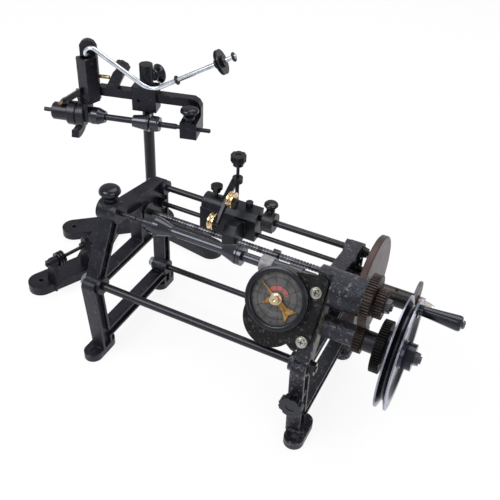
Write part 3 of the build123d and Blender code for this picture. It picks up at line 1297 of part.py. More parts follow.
# ------------------------------------------------------------------ brake lever
with BuildPart() as brake_lever:
    with BuildSketch(head_across(lever_left)):
        steps = 36
        angles = [radians(lever_start + (lever_end - lever_start) * i / steps) for i in range(steps + 1)]
        rim = [(r * cos(a) - spool_forward, r * sin(a) + spool_z)
               for r, turns in ((lever_out, angles), (lever_in, angles[::-1])) for a in turns]
        outline(*rim)
        with Locations((pivot_back, pivot_z)):
            Circle(6.5)
            Circle(lever_pin_d / 2 + running_clearance, mode=Mode.SUBTRACT)
    extrude(amount=lever_right - lever_left)
save(brake_lever.part, "brake_lever")

# ------------------------------------------------------------------ tension arm
arm_forward = box_forward
arm_d = 6.5
arm_foot_z = 252.0
arm_bend = (box_along, 300.0)
arm_elbow = (11.0, 241.0)
arm_tip = (128.0, 306.0)
arm_angle = atan2(arm_tip[1] - arm_elbow[1], arm_tip[0] - arm_elbow[0])


def on_arm(distance):
    """Plane square to the tension arm's last straight, a distance back from its tip."""
    direction = (cos(arm_angle), sin(arm_angle))
    place = head_point(arm_tip[0] - direction[0] * distance, arm_forward, arm_tip[1] - direction[1] * distance)
    normal = (direction[0] * head_u[0], direction[0] * head_u[1], direction[1])
    return Plane(origin=place, x_dir=head_n, z_dir=normal)


with BuildPart() as tension_arm:
    with BuildLine(head_front(arm_forward)) as arm_line:
        Polyline((box_along, arm_foot_z), arm_bend, arm_elbow, arm_tip)
        fillet(arm_line.vertices().sort_by(Axis.Z)[2], 9.0)
        fillet(arm_line.vertices().sort_by(Axis.Z)[0], 26.0)
    with BuildSketch(Plane(origin=head_point(box_along, arm_forward, arm_foot_z))):
        Circle(arm_d / 2)
    sweep()
    with BuildSketch(on_arm(0)):
        Circle(arm_d / 2 - 0.8)
    extrude(amount=1.5)
    with BuildSketch(head_front(arm_forward + arm_d)):
        with Locations((box_along, arm_pivot_z)):
            Circle(arm_pin_d / 2 + running_clearance)
    extrude(amount=-2 * arm_d, mode=Mode.SUBTRACT)
save(tension_arm.part, "tension_arm")

with BuildPart() as arm_wheel:
    wheel_back = 23.5
    for start, length, radius in ((0.0, 1.6, 17.0), (1.6, 1.8, 15.0), (3.4, 1.6, 17.0), (-3.0, 3.0, 8.0), (5.0, 3.0, 8.0)):
        with BuildSketch(on_arm(wheel_back - start)):
            Circle(radius)
            Circle(arm_d / 2 + running_clearance, mode=Mode.SUBTRACT)
        extrude(amount=length)
save(arm_wheel.part, "arm_wheel")

ring_tube = 1.6
with BuildPart() as arm_rings:
    for distance in (3.5, 30.0, 92.0):
        with BuildSketch(on_arm(distance)):
            Circle(arm_d / 2 + 2 * ring_tube)
            Circle(arm_d / 2 + seat_clearance, mode=Mode.SUBTRACT)
        extrude(amount=2 * ring_tube)
    fillet(arm_rings.edges().filter_by(GeomType.CIRCLE).filter_by(lambda e: e.radius > arm_d / 2 + 1), ring_tube * 0.9)
save(arm_rings.part, "arm_rings")
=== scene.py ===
"""Looks of the hand-driven wire coil winding machine and its spool stand.

Every length is in metres and every piece stands in the model's own frame: X runs along the machine from
the left end frame to the handwheel, Y to the back and Z up, from the left front foot's bolt hole.
"""

import json
import logging
import math
from dataclasses import dataclass
from enum import Enum
from typing import Mapping, Sequence

import bpy
from mathutils import Matrix, Vector

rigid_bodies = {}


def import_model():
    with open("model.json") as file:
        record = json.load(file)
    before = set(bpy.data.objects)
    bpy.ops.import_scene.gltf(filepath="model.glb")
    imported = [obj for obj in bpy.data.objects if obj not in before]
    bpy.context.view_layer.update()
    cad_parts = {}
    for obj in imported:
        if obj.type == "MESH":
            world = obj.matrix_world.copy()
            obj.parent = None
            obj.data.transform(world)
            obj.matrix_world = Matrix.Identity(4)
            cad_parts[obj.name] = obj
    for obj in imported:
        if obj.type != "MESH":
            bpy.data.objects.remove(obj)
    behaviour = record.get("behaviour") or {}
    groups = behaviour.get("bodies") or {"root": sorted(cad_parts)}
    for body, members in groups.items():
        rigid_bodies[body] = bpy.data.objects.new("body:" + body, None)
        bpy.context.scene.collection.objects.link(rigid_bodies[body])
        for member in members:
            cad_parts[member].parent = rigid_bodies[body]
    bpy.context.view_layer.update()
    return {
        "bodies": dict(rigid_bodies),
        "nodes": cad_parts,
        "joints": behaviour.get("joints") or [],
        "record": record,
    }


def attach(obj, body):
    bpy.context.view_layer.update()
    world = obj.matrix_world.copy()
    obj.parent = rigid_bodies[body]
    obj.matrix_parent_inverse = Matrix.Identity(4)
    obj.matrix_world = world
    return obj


LOG = logging.getLogger("winding_machine")
Rgb = tuple[float, float, float]
Point2 = tuple[float, float]
Point3 = tuple[float, float, float]

# places that the CAD shares, as (y, z) of an axis or of a point in the end frame's plane
DRIVE_AXIS: Point2 = (0.0399915, 0.1555063)
SPINDLE_AXIS: Point2 = (0.057, 0.195)
DISC_AXIS: Point2 = (0.138, 0.141)
MEMBER_FOOT: Point2 = (0.013, 0.115)
MEMBER_SLOPE = math.atan2(0.080, 0.044)
# where the tooth tips of the two gear sizes begin to shine, as a radius
LARGE_TIP = 0.02885
SMALL_TIP = 0.01585


# ---------------------------------------------------------------- shader maths
class Signal:
    """A value in a material's node tree that Python operators act on."""

    def __init__(self, tree: bpy.types.NodeTree, socket: bpy.types.NodeSocket) -> None:
        """Keep the tree and the socket that carries the value."""
        self.tree = tree
        self.socket = socket

    def math(self, operation: str, *terms: "Signal | float") -> "Signal":
        """Add a Math node.

        Args:
            operation: the Math node's operation.
            terms: its inputs in order, links or numbers.

        Returns:
            The node's result.
        """
        node = self.tree.nodes.new("ShaderNodeMath")
        node.operation = operation
        for slot, term in zip(node.inputs, terms):
            if isinstance(term, Signal):
                self.tree.links.new(term.socket, slot)
            else:
                slot.default_value = term
        return Signal(self.tree, node.outputs[0])

    def __add__(self, other: "Signal | float") -> "Signal":
        """Sum."""
        return self.math("ADD", self, other)

    def __mul__(self, other: "Signal | float") -> "Signal":
        """Product."""
        return self.math("MULTIPLY", self, other)

    def __sub__(self, other: "Signal | float") -> "Signal":
        """Difference."""
        return self.math("SUBTRACT", self, other)

    def __rsub__(self, other: "Signal | float") -> "Signal":
        """Difference from a number."""
        return self.math("SUBTRACT", other, self)

    def __truediv__(self, other: "Signal | float") -> "Signal":
        """Quotient."""
        return self.math("DIVIDE", self, other)

    def __pow__(self, other: "Signal | float") -> "Signal":
        """Power."""
        return self.math("POWER", self, other)

    def clamped(self) -> "Signal":
        """The value held between 0 and 1."""
        return self.math("MAXIMUM", self.math("MINIMUM", self, 1.0), 0.0)

    def step(self, low: float, high: float) -> "Signal":
        """A soft step that is 0 at low and 1 at high."""
        return ((self - low) / (high - low)).clamped()


class Recipe:
    """A node material that is being put together round one Principled shader."""

    def __init__(self, name: str) -> None:
        """Start an empty material.

        Args:
            name: the material's name.
        """
        self.material = bpy.data.materials.new(name)
        self.material.use_nodes = True
        self.tree = self.material.node_tree
        self.tree.nodes.clear()
        self.shader = self.tree.nodes.new("ShaderNodeBsdfPrincipled")
        end = self.tree.nodes.new("ShaderNodeOutputMaterial")
        self.tree.links.new(self.shader.outputs[0], end.inputs[0])

    def feed(self, slot: bpy.types.NodeSocket, value: object) -> None:
        """Link a signal into a socket, or set the socket's value.

        Args:
            slot: the socket.
            value: a signal, a number or a colour.
        """
        if isinstance(value, Signal):
            self.tree.links.new(value.socket, slot)
        elif slot.type == "RGBA" and len(value) == 3:
            slot.default_value = (*value, 1.0)
        else:
            slot.default_value = value

    def node(
        self,
        kind: str,
        settings: Mapping[str, object] | None = None,
        values: Mapping[str | int, object] | None = None,
        output: str | int = 0,
    ) -> Signal:
        """Add any node.

        Args:
            kind: the node's type.
            settings: its settings.
            values: values or links for its sockets, by name or number.
            output: the socket to hand back.

        Returns:
            The output as a signal.
        """
        made = self.tree.nodes.new(kind)
        for key, value in (settings or {}).items():
            setattr(made, key, value)
        for key, value in (values or {}).items():
            self.feed(made.inputs[key], value)
        return Signal(self.tree, made.outputs[output])

    def place(self) -> Signal:
        """The point on the piece, in metres."""
        return self.node("ShaderNodeTexCoord", output="Object")

    def axis_parts(self) -> tuple[Signal, Signal, Signal]:
        """The point's X, Y and Z."""
        parts = self.node("ShaderNodeSeparateXYZ", values={0: self.place()})
        outputs = parts.socket.node.outputs
        return tuple(Signal(self.tree, outputs[i]) for i in range(3))

    def radius(self, centre: Point2) -> Signal:
        """The point's distance from an axis along X through (y, z)."""
        _, across, up = self.axis_parts()
        return ((across - centre[0]) ** 2.0 + (up - centre[1]) ** 2.0) ** 0.5

    def noise(
        self, scale: float, detail: float = 3.0, stretch: Sequence[float] = (1.0, 1.0, 1.0)
    ) -> Signal:
        """A fractal noise over the piece.

        Args:
            scale: cells per metre.
            detail: octaves.
            stretch: factor on each axis, below 1 for streaks along it.

        Returns:
            The noise, about 0.5 in the middle.
        """
        spot = self.node("ShaderNodeMapping", values={"Vector": self.place(), "Scale": tuple(stretch)})
        values = {"Vector": spot, "Scale": scale, "Detail": detail}
        return self.node("ShaderNodeTexNoise", values=values, output="Fac")

    def mix(self, factor: Signal | float, first: Signal | Rgb, second: Signal | Rgb) -> Signal:
        """A colour between two.

        Args:
            factor: 0 for the first colour and 1 for the second.
            first: colour or link.
            second: colour or link.

        Returns:
            The mixed colour.
        """
        return self.node("ShaderNodeMix", {"data_type": "RGBA"}, {0: factor, 6: first, 7: second}, 2)

    def soft_edge(self, radius: float) -> Signal:
        """A normal that rounds the corners by the radius."""
        return self.node("ShaderNodeBevel", {"samples": 4}, {"Radius": radius})

    def edges(self, radius: float) -> Signal:
        """A mask that is 1 on the corners and fades out within the radius."""
        flat = self.node("ShaderNodeNewGeometry", output="Normal")
        rounded = self.soft_edge(radius)
        values = {0: rounded, 1: flat}
        same = self.node("ShaderNodeVectorMath", {"operation": "DOT_PRODUCT"}, values, "Value")
        return (1.0 - same).step(0.01, 0.22)

    def bump(self, height: Signal, distance: float, strength: float, normal: Signal) -> Signal:
        """A normal bent by a height.

        Args:
            height: relief, 0 to 1.
            distance: how deep it is, in metres.
            strength: 0 to 1.
            normal: the normal to start from.

        Returns:
            The bent normal.
        """
        values = {"Height": height, "Distance": distance, "Strength": strength, "Normal": normal}
        return self.node("ShaderNodeBump", None, values)

    def finish(self, **sockets: object) -> bpy.types.Material:
        """Set the shader's sockets.

        Args:
            sockets: values or links, with underscores for the spaces in their names.

        Returns:
            The finished material.
        """
        for key, value in sockets.items():
            self.feed(self.shader.inputs[key.replace("_", " ")], value)
        return self.material


# ---------------------------------------------------------------- finishes
@dataclass(frozen=True)
class CastEnamel:
    """Black enamel brushed over a sand casting, rubbed through at its corners."""

    name: str
    dark: Rgb = (0.0030, 0.0027, 0.0042)
    pale: Rgb = (0.0120, 0.0108, 0.0175)
    rubbed: Rgb = (0.17, 0.16, 0.18)
    grain: float = 420.0
    relief: float = 0.00030
    corner: float = 0.0012
    wear: float = 0.5
    speck: float = 0.25
    roughness: float = 0.38
    shine: float = 0.34
    tint: Rgb = (0.80, 0.84, 1.0)
    speck_from: float = 0.57

    def build(self) -> bpy.types.Material:
        """Put the material together.

        Returns:
            The material.
        """
        mix = Recipe(self.name)
        cloud = mix.noise(38.0, 4.0)
        fine = mix.noise(self.grain, 3.0)
        scuff = mix.noise(160.0, 5.0)
        colour = mix.mix(cloud.step(0.35, 0.7), self.dark, self.pale)
        worn = (mix.edges(self.corner) * scuff.step(0.46, 0.66) * self.wear).clamped()
        specks = (scuff * 0.5 + fine * 0.5).step(self.speck_from, self.speck_from + 0.08) * self.speck
        colour = mix.mix((worn + specks).clamped(), colour, self.rubbed)
        colour = self.patina(mix, colour, scuff)
        rough = (fine * 0.20 + cloud * 0.14 + (self.roughness - 0.17) - worn * 0.10).clamped()
        normal = mix.bump(fine * 0.7 + scuff * 0.3, self.relief, 0.85, mix.soft_edge(self.corner))
        return mix.finish(
            Base_Color=colour, Roughness=rough, Normal=normal, Metallic=worn * 0.6,
            Specular_IOR_Level=self.shine, Specular_Tint=self.tint,
        )

    def patina(self, mix: Recipe, colour: Signal, scuff: Signal) -> Signal:
        """The colour with any stain of the piece's own; here there is none."""
        return colour


@dataclass(frozen=True)
class StainedEnamel(CastEnamel):
    """Hammered enamel whose right-hand side is worn to an olive and tan stain between two heights."""

    stain: Rgb = (0.060, 0.050, 0.030)
    tan: Rgb = (0.16, 0.12, 0.075)
    side_x: float = 0.2835
    side_end: float = 0.2855
    back: float = 0.062
    low: float = 0.125
    high: float = 0.185

    def patina(self, mix: Recipe, colour: Signal, scuff: Signal) -> Signal:
        """The colour with the stain on the member's side.

        Args:
            mix: the recipe.
            colour: the enamel's colour.
            scuff: the noise that breaks the stain's edge.

        Returns:
            The stained colour.
        """
        along, across, up = mix.axis_parts()
        blot = mix.noise(75.0, 5.0)
        zone = along.step(self.side_x - 0.0012, self.side_x)
        zone = zone * (1.0 - along.step(self.side_end - 0.001, self.side_end))
        zone = zone * up.step(self.low, self.low + 0.012) * (1.0 - up.step(self.high - 0.015, self.high))
        zone = zone * (1.0 - across.step(self.back - 0.007, self.back)) * blot.step(0.36, 0.52)
        tone = mix.mix(scuff.step(0.45, 0.62), self.stain, self.tan)
        return mix.mix(zone * 0.85, colour, tone)


@dataclass(frozen=True)
class DarkSteel:
    """Blackened and oiled steel bar, drawn or turned, with faint lines along it."""

    name: str
    dark: Rgb = (0.0045, 0.0042, 0.0050)
    pale: Rgb = (0.016, 0.015, 0.018)
    rubbed: Rgb = (0.24, 0.23, 0.24)
    roughness: float = 0.30
    lines: Sequence[float] = (0.06, 1.0, 1.0)
    corner: float = 0.0005
    shine: float = 0.4
    tint: Rgb = (0.84, 0.87, 1.0)

    def build(self) -> bpy.types.Material:
        """Put the material together.

        Returns:
            The material.
        """
        mix = Recipe(self.name)
        drawn = mix.noise(900.0, 2.0, self.lines)
        cloud = mix.noise(60.0, 4.0)
        worn = (mix.edges(self.corner) * cloud.step(0.42, 0.6) * 0.5).clamped()
        colour = mix.mix((drawn * 0.5 + cloud * 0.5).step(0.38, 0.66), self.dark, self.pale)
        colour = mix.mix(worn, colour, self.rubbed)
        rough = (drawn * 0.06 + cloud * 0.12 + self.roughness - 0.09).clamped()
        normal = mix.bump(drawn, 0.00001, 0.1, mix.soft_edge(self.corner))
        return mix.finish(
            Base_Color=colour, Roughness=rough, Normal=normal, Metallic=worn * 0.5,
            Specular_IOR_Level=self.shine, Specular_Tint=self.tint,
        )


@dataclass(frozen=True)
class BareMetal:
    """Bare, plated or polished metal with fingermarks and fine scratches."""

    name: str
    colour: Rgb
    shade: Rgb
    roughness: float = 0.22
    scratch: float = 0.12
    lines: Sequence[float] = (1.0, 1.0, 1.0)
    corner: float = 0.0003

    def build(self) -> bpy.types.Material:
        """Put the material together.

        Returns:
            The material.
        """
        mix = Recipe(self.name)
        smear = mix.noise(90.0, 5.0)
        hair = mix.noise(1500.0, 2.0, self.lines)
        colour = mix.mix(smear.step(0.36, 0.62), self.shade, self.colour)
        level = self.roughness - 0.05 - self.scratch * 0.5
        rough = (hair * self.scratch + smear * 0.10 + level).clamped()
        normal = mix.bump(hair, 0.00004, 0.25, mix.soft_edge(self.corner))
        return mix.finish(Base_Color=colour, Roughness=rough, Normal=normal, Metallic=1.0)


@dataclass(frozen=True)
class MouldedPlastic:
    """Pressed black phenolic with a polished skin and a little dust."""

    name: str
    colour: Rgb = (0.0025, 0.0025, 0.0035)
    dust: Rgb = (0.012, 0.012, 0.014)
    roughness: float = 0.18
    shine: float = 0.45
    tint: Rgb = (0.82, 0.86, 1.0)

    def build(self) -> bpy.types.Material:
        """Put the material together.

        Returns:
            The material.
        """
        mix = Recipe(self.name)
        cloud = mix.noise(120.0, 5.0)
        swirl = mix.noise(25.0, 1.0)
        colour = mix.mix(cloud.step(0.5, 0.8), self.colour, self.dust)
        rough = (cloud * 0.16 + self.roughness - 0.06).clamped()
        normal = mix.bump(swirl, 0.0002, 0.05, mix.soft_edge(0.0003))
        return mix.finish(
            Base_Color=colour, Roughness=rough, Normal=normal,
            Specular_IOR_Level=self.shine, Specular_Tint=self.tint,
        )


@dataclass(frozen=True)
class TurnedIron:
    """Brown iron disc with turning lines, darker and redder at its rim."""

    name: str
    centre: Point2
    rim: float
    face: Rgb
    edge: Rgb
    patch: Rgb
    roughness: float = 0.45
    rings: float = 900.0

    def build(self) -> bpy.types.Material:
        """Put the material together.

        Returns:
            The material.
        """
        mix = Recipe(self.name)
        radius = mix.radius(self.centre)
        wave = radius * self.rings * math.tau
        lathe = wave.math("SINE", wave) * 0.5 + 0.5
        cloud = mix.noise(45.0, 5.0)
        spots = mix.noise(210.0, 4.0)
        colour = mix.mix(cloud.step(0.38, 0.66), self.face, self.patch)
        colour = mix.mix(radius.step(self.rim * 0.965, self.rim * 0.995), colour, self.edge)
        colour = mix.mix(spots.step(0.62, 0.72) * 0.5, colour, self.edge)
        rough = (spots * 0.25 + self.roughness - 0.12).clamped()
        normal = mix.bump(lathe * 0.4 + spots * 0.6, 0.00010, 0.35, mix.soft_edge(0.0008))
        return mix.finish(Base_Color=colour, Roughness=rough, Normal=normal, Metallic=0.35)


@dataclass(frozen=True)
class ToothedSteel:
    """Cut gear: dark oily flanks and brighter rubbed tooth tips."""

    name: str
    centre: Point2
    tip: float
    dark: Rgb = (0.006, 0.0045, 0.004)
    brown: Rgb = (0.022, 0.013, 0.011)
    bright: Rgb = (0.085, 0.062, 0.056)
    shine: float = 0.25

    def build(self) -> bpy.types.Material:
        """Put the material together.

        Returns:
            The material.
        """
        mix = Recipe(self.name)
        radius = mix.radius(self.centre)
        oil = mix.noise(130.0, 5.0)
        tips = radius.step(self.tip - 0.0012, self.tip - 0.0002) * oil.step(0.3, 0.6)
        colour = mix.mix(oil.step(0.36, 0.66), self.dark, self.brown)
        colour = mix.mix(tips * 0.8, colour, self.bright)
        rough = (oil * 0.3 + 0.22 - tips * 0.08).clamped()
        normal = mix.bump(oil, 0.00010, 0.4, mix.soft_edge(0.0004))
        return mix.finish(
            Base_Color=colour, Roughness=rough, Normal=normal, Metallic=tips * 0.4,
            Specular_IOR_Level=self.shine,
        )


@dataclass(frozen=True)
class GroovedRim:
    """Handwheel: black paint with the rim's flanks rubbed to bare metal."""

    name: str
    centre: Point2
    outer: float
    inner: float
    face_x: float
    black: Rgb = (0.0018, 0.0018, 0.0026)
    grey: Rgb = (0.0070, 0.0070, 0.0100)
    silver: Rgb = (0.33, 0.34, 0.42)
    shine: float = 0.5
    tint: Rgb = (0.74, 0.78, 1.0)

    def build(self) -> bpy.types.Material:
        """Put the material together.

        Returns:
            The material.
        """
        mix = Recipe(self.name)
        along, _, _ = mix.axis_parts()
        radius = mix.radius(self.centre)
        cloud = mix.noise(55.0, 5.0)
        hair = mix.noise(700.0, 2.0)
        front = along.step(self.face_x - 0.0004, self.face_x)
        flank = radius.step(self.inner, self.inner + 0.0015) * front
        crown = radius.step(self.outer - 0.0008, self.outer - 0.0003) * 0.8
        bare = ((flank + crown).clamped() * cloud.step(0.24, 0.46)).clamped()
        colour = mix.mix(cloud.step(0.38, 0.66), self.black, self.grey)
        colour = mix.mix(bare, colour, self.silver)
        rough = (hair * 0.06 + 0.11 + cloud * 0.10).clamped()
        normal = mix.bump(hair, 0.00002, 0.2, mix.soft_edge(0.0008))
        return mix.finish(
            Base_Color=colour, Roughness=rough, Normal=normal, Metallic=bare * 0.9,
            Specular_IOR_Level=self.shine, Specular_Tint=self.tint,
        )


@dataclass(frozen=True)
class HandAndHub:
    """Lacquered brass hand whose turned hub, above a height over the dial, is polished, its colour
    lightened towards white as a painted highlight.
    """

    name: str
    hand: Rgb
    hand_shade: Rgb
    hub: Rgb
    hub_shade: Rgb
    hub_height: float

    def build(self) -> bpy.types.Material:
        """Put the material together.

        Returns:
            The material.
        """
        mix = Recipe(self.name)
        _, across, up = mix.axis_parts()
        cos, sin = math.cos(MEMBER_SLOPE), math.sin(MEMBER_SLOPE)
        height = (up - MEMBER_FOOT[1]) * cos - (across - MEMBER_FOOT[0]) * sin
        hub = height.step(self.hub_height - 0.0002, self.hub_height)
        smear = mix.noise(220.0, 5.0)
        streak = mix.noise(900.0, 2.0)
        tone = smear.step(0.36, 0.62)
        blade = mix.mix(tone, self.hand_shade, self.hand)
        # the hub's colour is partly polished brass and partly a painted highlight
        colour = mix.mix(hub, blade, mix.mix(tone, self.hub_shade, self.hub))
        rough = (streak * 0.14 + 0.24 - hub * 0.16).clamped()
        normal = mix.bump(streak, 0.00004, 0.3, mix.soft_edge(0.0003))
        return mix.finish(Base_Color=colour, Roughness=rough, Normal=normal, Metallic=hub * 0.3 + 0.7)


@dataclass(frozen=True)
class FlatPaint:
    """Thin matt paint, such as a dial's face and its marks, with faint stains."""

    name: str
    colour: Rgb
    stain: Rgb
    roughness: float = 0.45
    grain: float = 600.0

    def build(self) -> bpy.types.Material:
        """Put the material together.

        Returns:
            The material.
        """
        mix = Recipe(self.name)
        cloud = mix.noise(110.0, 5.0)
        fine = mix.noise(self.grain, 2.0)
        colour = mix.mix(cloud.step(0.36, 0.70), self.colour, self.stain)
        rough = (fine * 0.2 + self.roughness - 0.1).clamped()
        normal = mix.bump(fine, 0.00005, 0.3, mix.soft_edge(0.0002))
        return mix.finish(Base_Color=colour, Roughness=rough, Normal=normal)


@dataclass(frozen=True)
class SplitAlongX:
    """Two colours of metal that meet at a place along the machine."""

    name: str
    border: float
    blur: float
    left: Rgb
    right: Rgb
    roughness: float = 0.38
    metal: float = 0.6

    def build(self) -> bpy.types.Material:
        """Put the material together.

        Returns:
            The material.
        """
        mix = Recipe(self.name)
        along, _, _ = mix.axis_parts()
        cloud = mix.noise(70.0, 5.0)
        fine = mix.noise(500.0, 3.0)
        side = (along + (cloud - 0.5) * self.blur).step(self.border - self.blur, self.border + self.blur)
        tone = cloud.step(0.34, 0.7) * 0.6 + 0.4
        shade = mix.mix(side, self.left, self.right)
        colour = mix.mix(tone, mix.mix(0.5, shade, (0.0, 0.0, 0.0)), shade)
        rough = (fine * 0.2 + self.roughness - 0.1).clamped()
        normal = mix.bump(fine, 0.00010, 0.4, mix.soft_edge(0.0006))
        return mix.finish(Base_Color=colour, Roughness=rough, Normal=normal, Metallic=self.metal)


# ---------------------------------------------------------------- places and meshes
@dataclass(frozen=True)
class Place:
    """A flat place in space with an origin and two directions in it."""

    origin: Vector
    right: Vector
    up: Vector

    @property
    def out(self) -> Vector:
        """The direction out of the place."""
        return self.right.cross(self.up)

    def at(self, u: float, v: float, w: float = 0.0) -> Vector:
        """The point u to the right, v up and w out."""
        return self.origin + self.right * u + self.up * v + self.out * w


class Maker:
    """Makes meshes from points, plates and turned profiles."""

    @staticmethod
    def solid(
        name: str, points: Sequence[Vector], faces: Sequence[Sequence[int]], smooth: bool
    ) -> bpy.types.Object:
        """Make a mesh object.

        Args:
            name: the piece's name.
            points: its corners.
            faces: its faces as corner numbers.
            smooth: whether it is shaded round.

        Returns:
            The object.
        """
        mesh = bpy.data.meshes.new(name)
        mesh.from_pydata([tuple(p) for p in points], [], [tuple(f) for f in faces])
        mesh.update()
        mesh.validate()
        made = bpy.data.objects.new(name, mesh)
        bpy.context.scene.collection.objects.link(made)
        if smooth:
            mesh.shade_smooth()
            mesh.set_sharp_from_angle(angle=math.radians(38))
        return made

    @classmethod
    def prism(
        cls, name: str, place: Place, outlines: Sequence[Sequence[Point2]], thick: float
    ) -> bpy.types.Object:
        """Make flat plates from outlines.

        Args:
            name: the piece's name.
            place: where their undersides lie.
            outlines: each plate's corners, counter-clockwise.
            thick: their thickness.

        Returns:
            One object that holds all the plates.
        """
        points: list[Vector] = []
        faces: list[list[int]] = []
        for outline in outlines:
            base, n = len(points), len(outline)
            points += [place.at(u, v) for u, v in outline]
            points += [place.at(u, v, thick) for u, v in outline]
            faces.append([base + i for i in reversed(range(n))])
            faces.append([base + n + i for i in range(n)])
            for i in range(n):
                after = (i + 1) % n
                faces.append([base + i, base + after, base + n + after, base + n + i])
        return cls.solid(name, points, faces, False)

    @classmethod
    def lathe(cls, name: str, place: Place, profile: Sequence[Point2], steps: int) -> bpy.types.Object:
        """Turn a closed profile round the place's out direction.

        Args:
            name: the piece's name.
            place: its origin lies on the axis.
            profile: (radius, height) corners of the section, counter-clockwise.
            steps: divisions round the axis.

        Returns:
            The object.
        """
        n = len(profile)
        points: list[Vector] = []
        faces: list[list[int]] = []
        for i in range(steps):
            turn = math.tau * i / steps
            here, after = i * n, ((i + 1) % steps) * n
            points += [place.at(r * math.cos(turn), r * math.sin(turn), h) for r, h in profile]
            faces += [[here + j, after + j, after + (j + 1) % n, here + (j + 1) % n] for j in range(n)]
        return cls.solid(name, points, faces, True)

    @staticmethod
    def tick(turn: float, inner: float, outer: float, half: float) -> list[Point2]:
        """Corners of a straight mark.

        Args:
            turn: the mark's direction in radians.
            inner: radius of its near end.
            outer: radius of its far end.
            half: half its width.

        Returns:
            Its outline.
        """
        out = Vector((math.cos(turn), math.sin(turn)))
        side = Vector((-out.y, out.x)) * half
        near, far = out * inner, out * outer
        return [tuple(near - side), tuple(far - side), tuple(far + side), tuple(near + side)]

    @staticmethod
    def arc_band(
        inner: float, outer: float, start: float, end: float, steps: int
    ) -> list[list[Point2]]:
        """Corners of an arc-shaped band as small plates.

        Args:
            inner: inner radius.
            outer: outer radius.
            start: first angle in degrees.
            end: last angle in degrees.
            steps: number of plates.

        Returns:
            The plates' outlines.
        """
        turns = [math.radians(start + (end - start) * i / steps) for i in range(steps + 1)]
        rays = [(math.cos(turn), math.sin(turn)) for turn in turns]
        return [
            [(inner * b[0], inner * b[1]), (inner * a[0], inner * a[1]),
             (outer * a[0], outer * a[1]), (outer * b[0], outer * b[1])]
            for a, b in zip(rays, rays[1:])
        ]


class Workshop:
    """Holds the frame, the finished materials and what has been dressed."""

    def __init__(self, frame: Mapping[str, object]) -> None:
        """Start with no material made.
        """
        self.frame = frame
        self.materials: dict[str, bpy.types.Material] = {}

    def material(self, finish: object) -> bpy.types.Material:
        """The finish's material, made once."""
        if finish.name not in self.materials:
            self.materials[finish.name] = finish.build()
        return self.materials[finish.name]

    def dress_node(self, node: str, finish: object) -> None:
        """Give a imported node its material.

        Args:
            node: the node's name.
            finish: a finish.
        """
        thing = self.frame["nodes"][node]
        made = self.material(finish)
        for slot in thing.material_slots:
            slot.material = made
        if not thing.material_slots:
            thing.data.materials.append(made)
        LOG.info("node %s dressed in %s", node, finish.name)

    def add(self, piece: bpy.types.Object, finish: object, body: str, slot: str) -> bpy.types.Object:
        """Dress a new piece and let it ride.

        Args:
            piece: the object.
            finish: its finish.
            body: the body it moves with.
            slot: the record's material slot; not used.

        Returns:
            The object.
        """
        piece.data.materials.clear()
        piece.data.materials.append(self.material(finish))
        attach(piece, body)
        LOG.info("piece %s rides on %s", piece.name, body)
        return piece


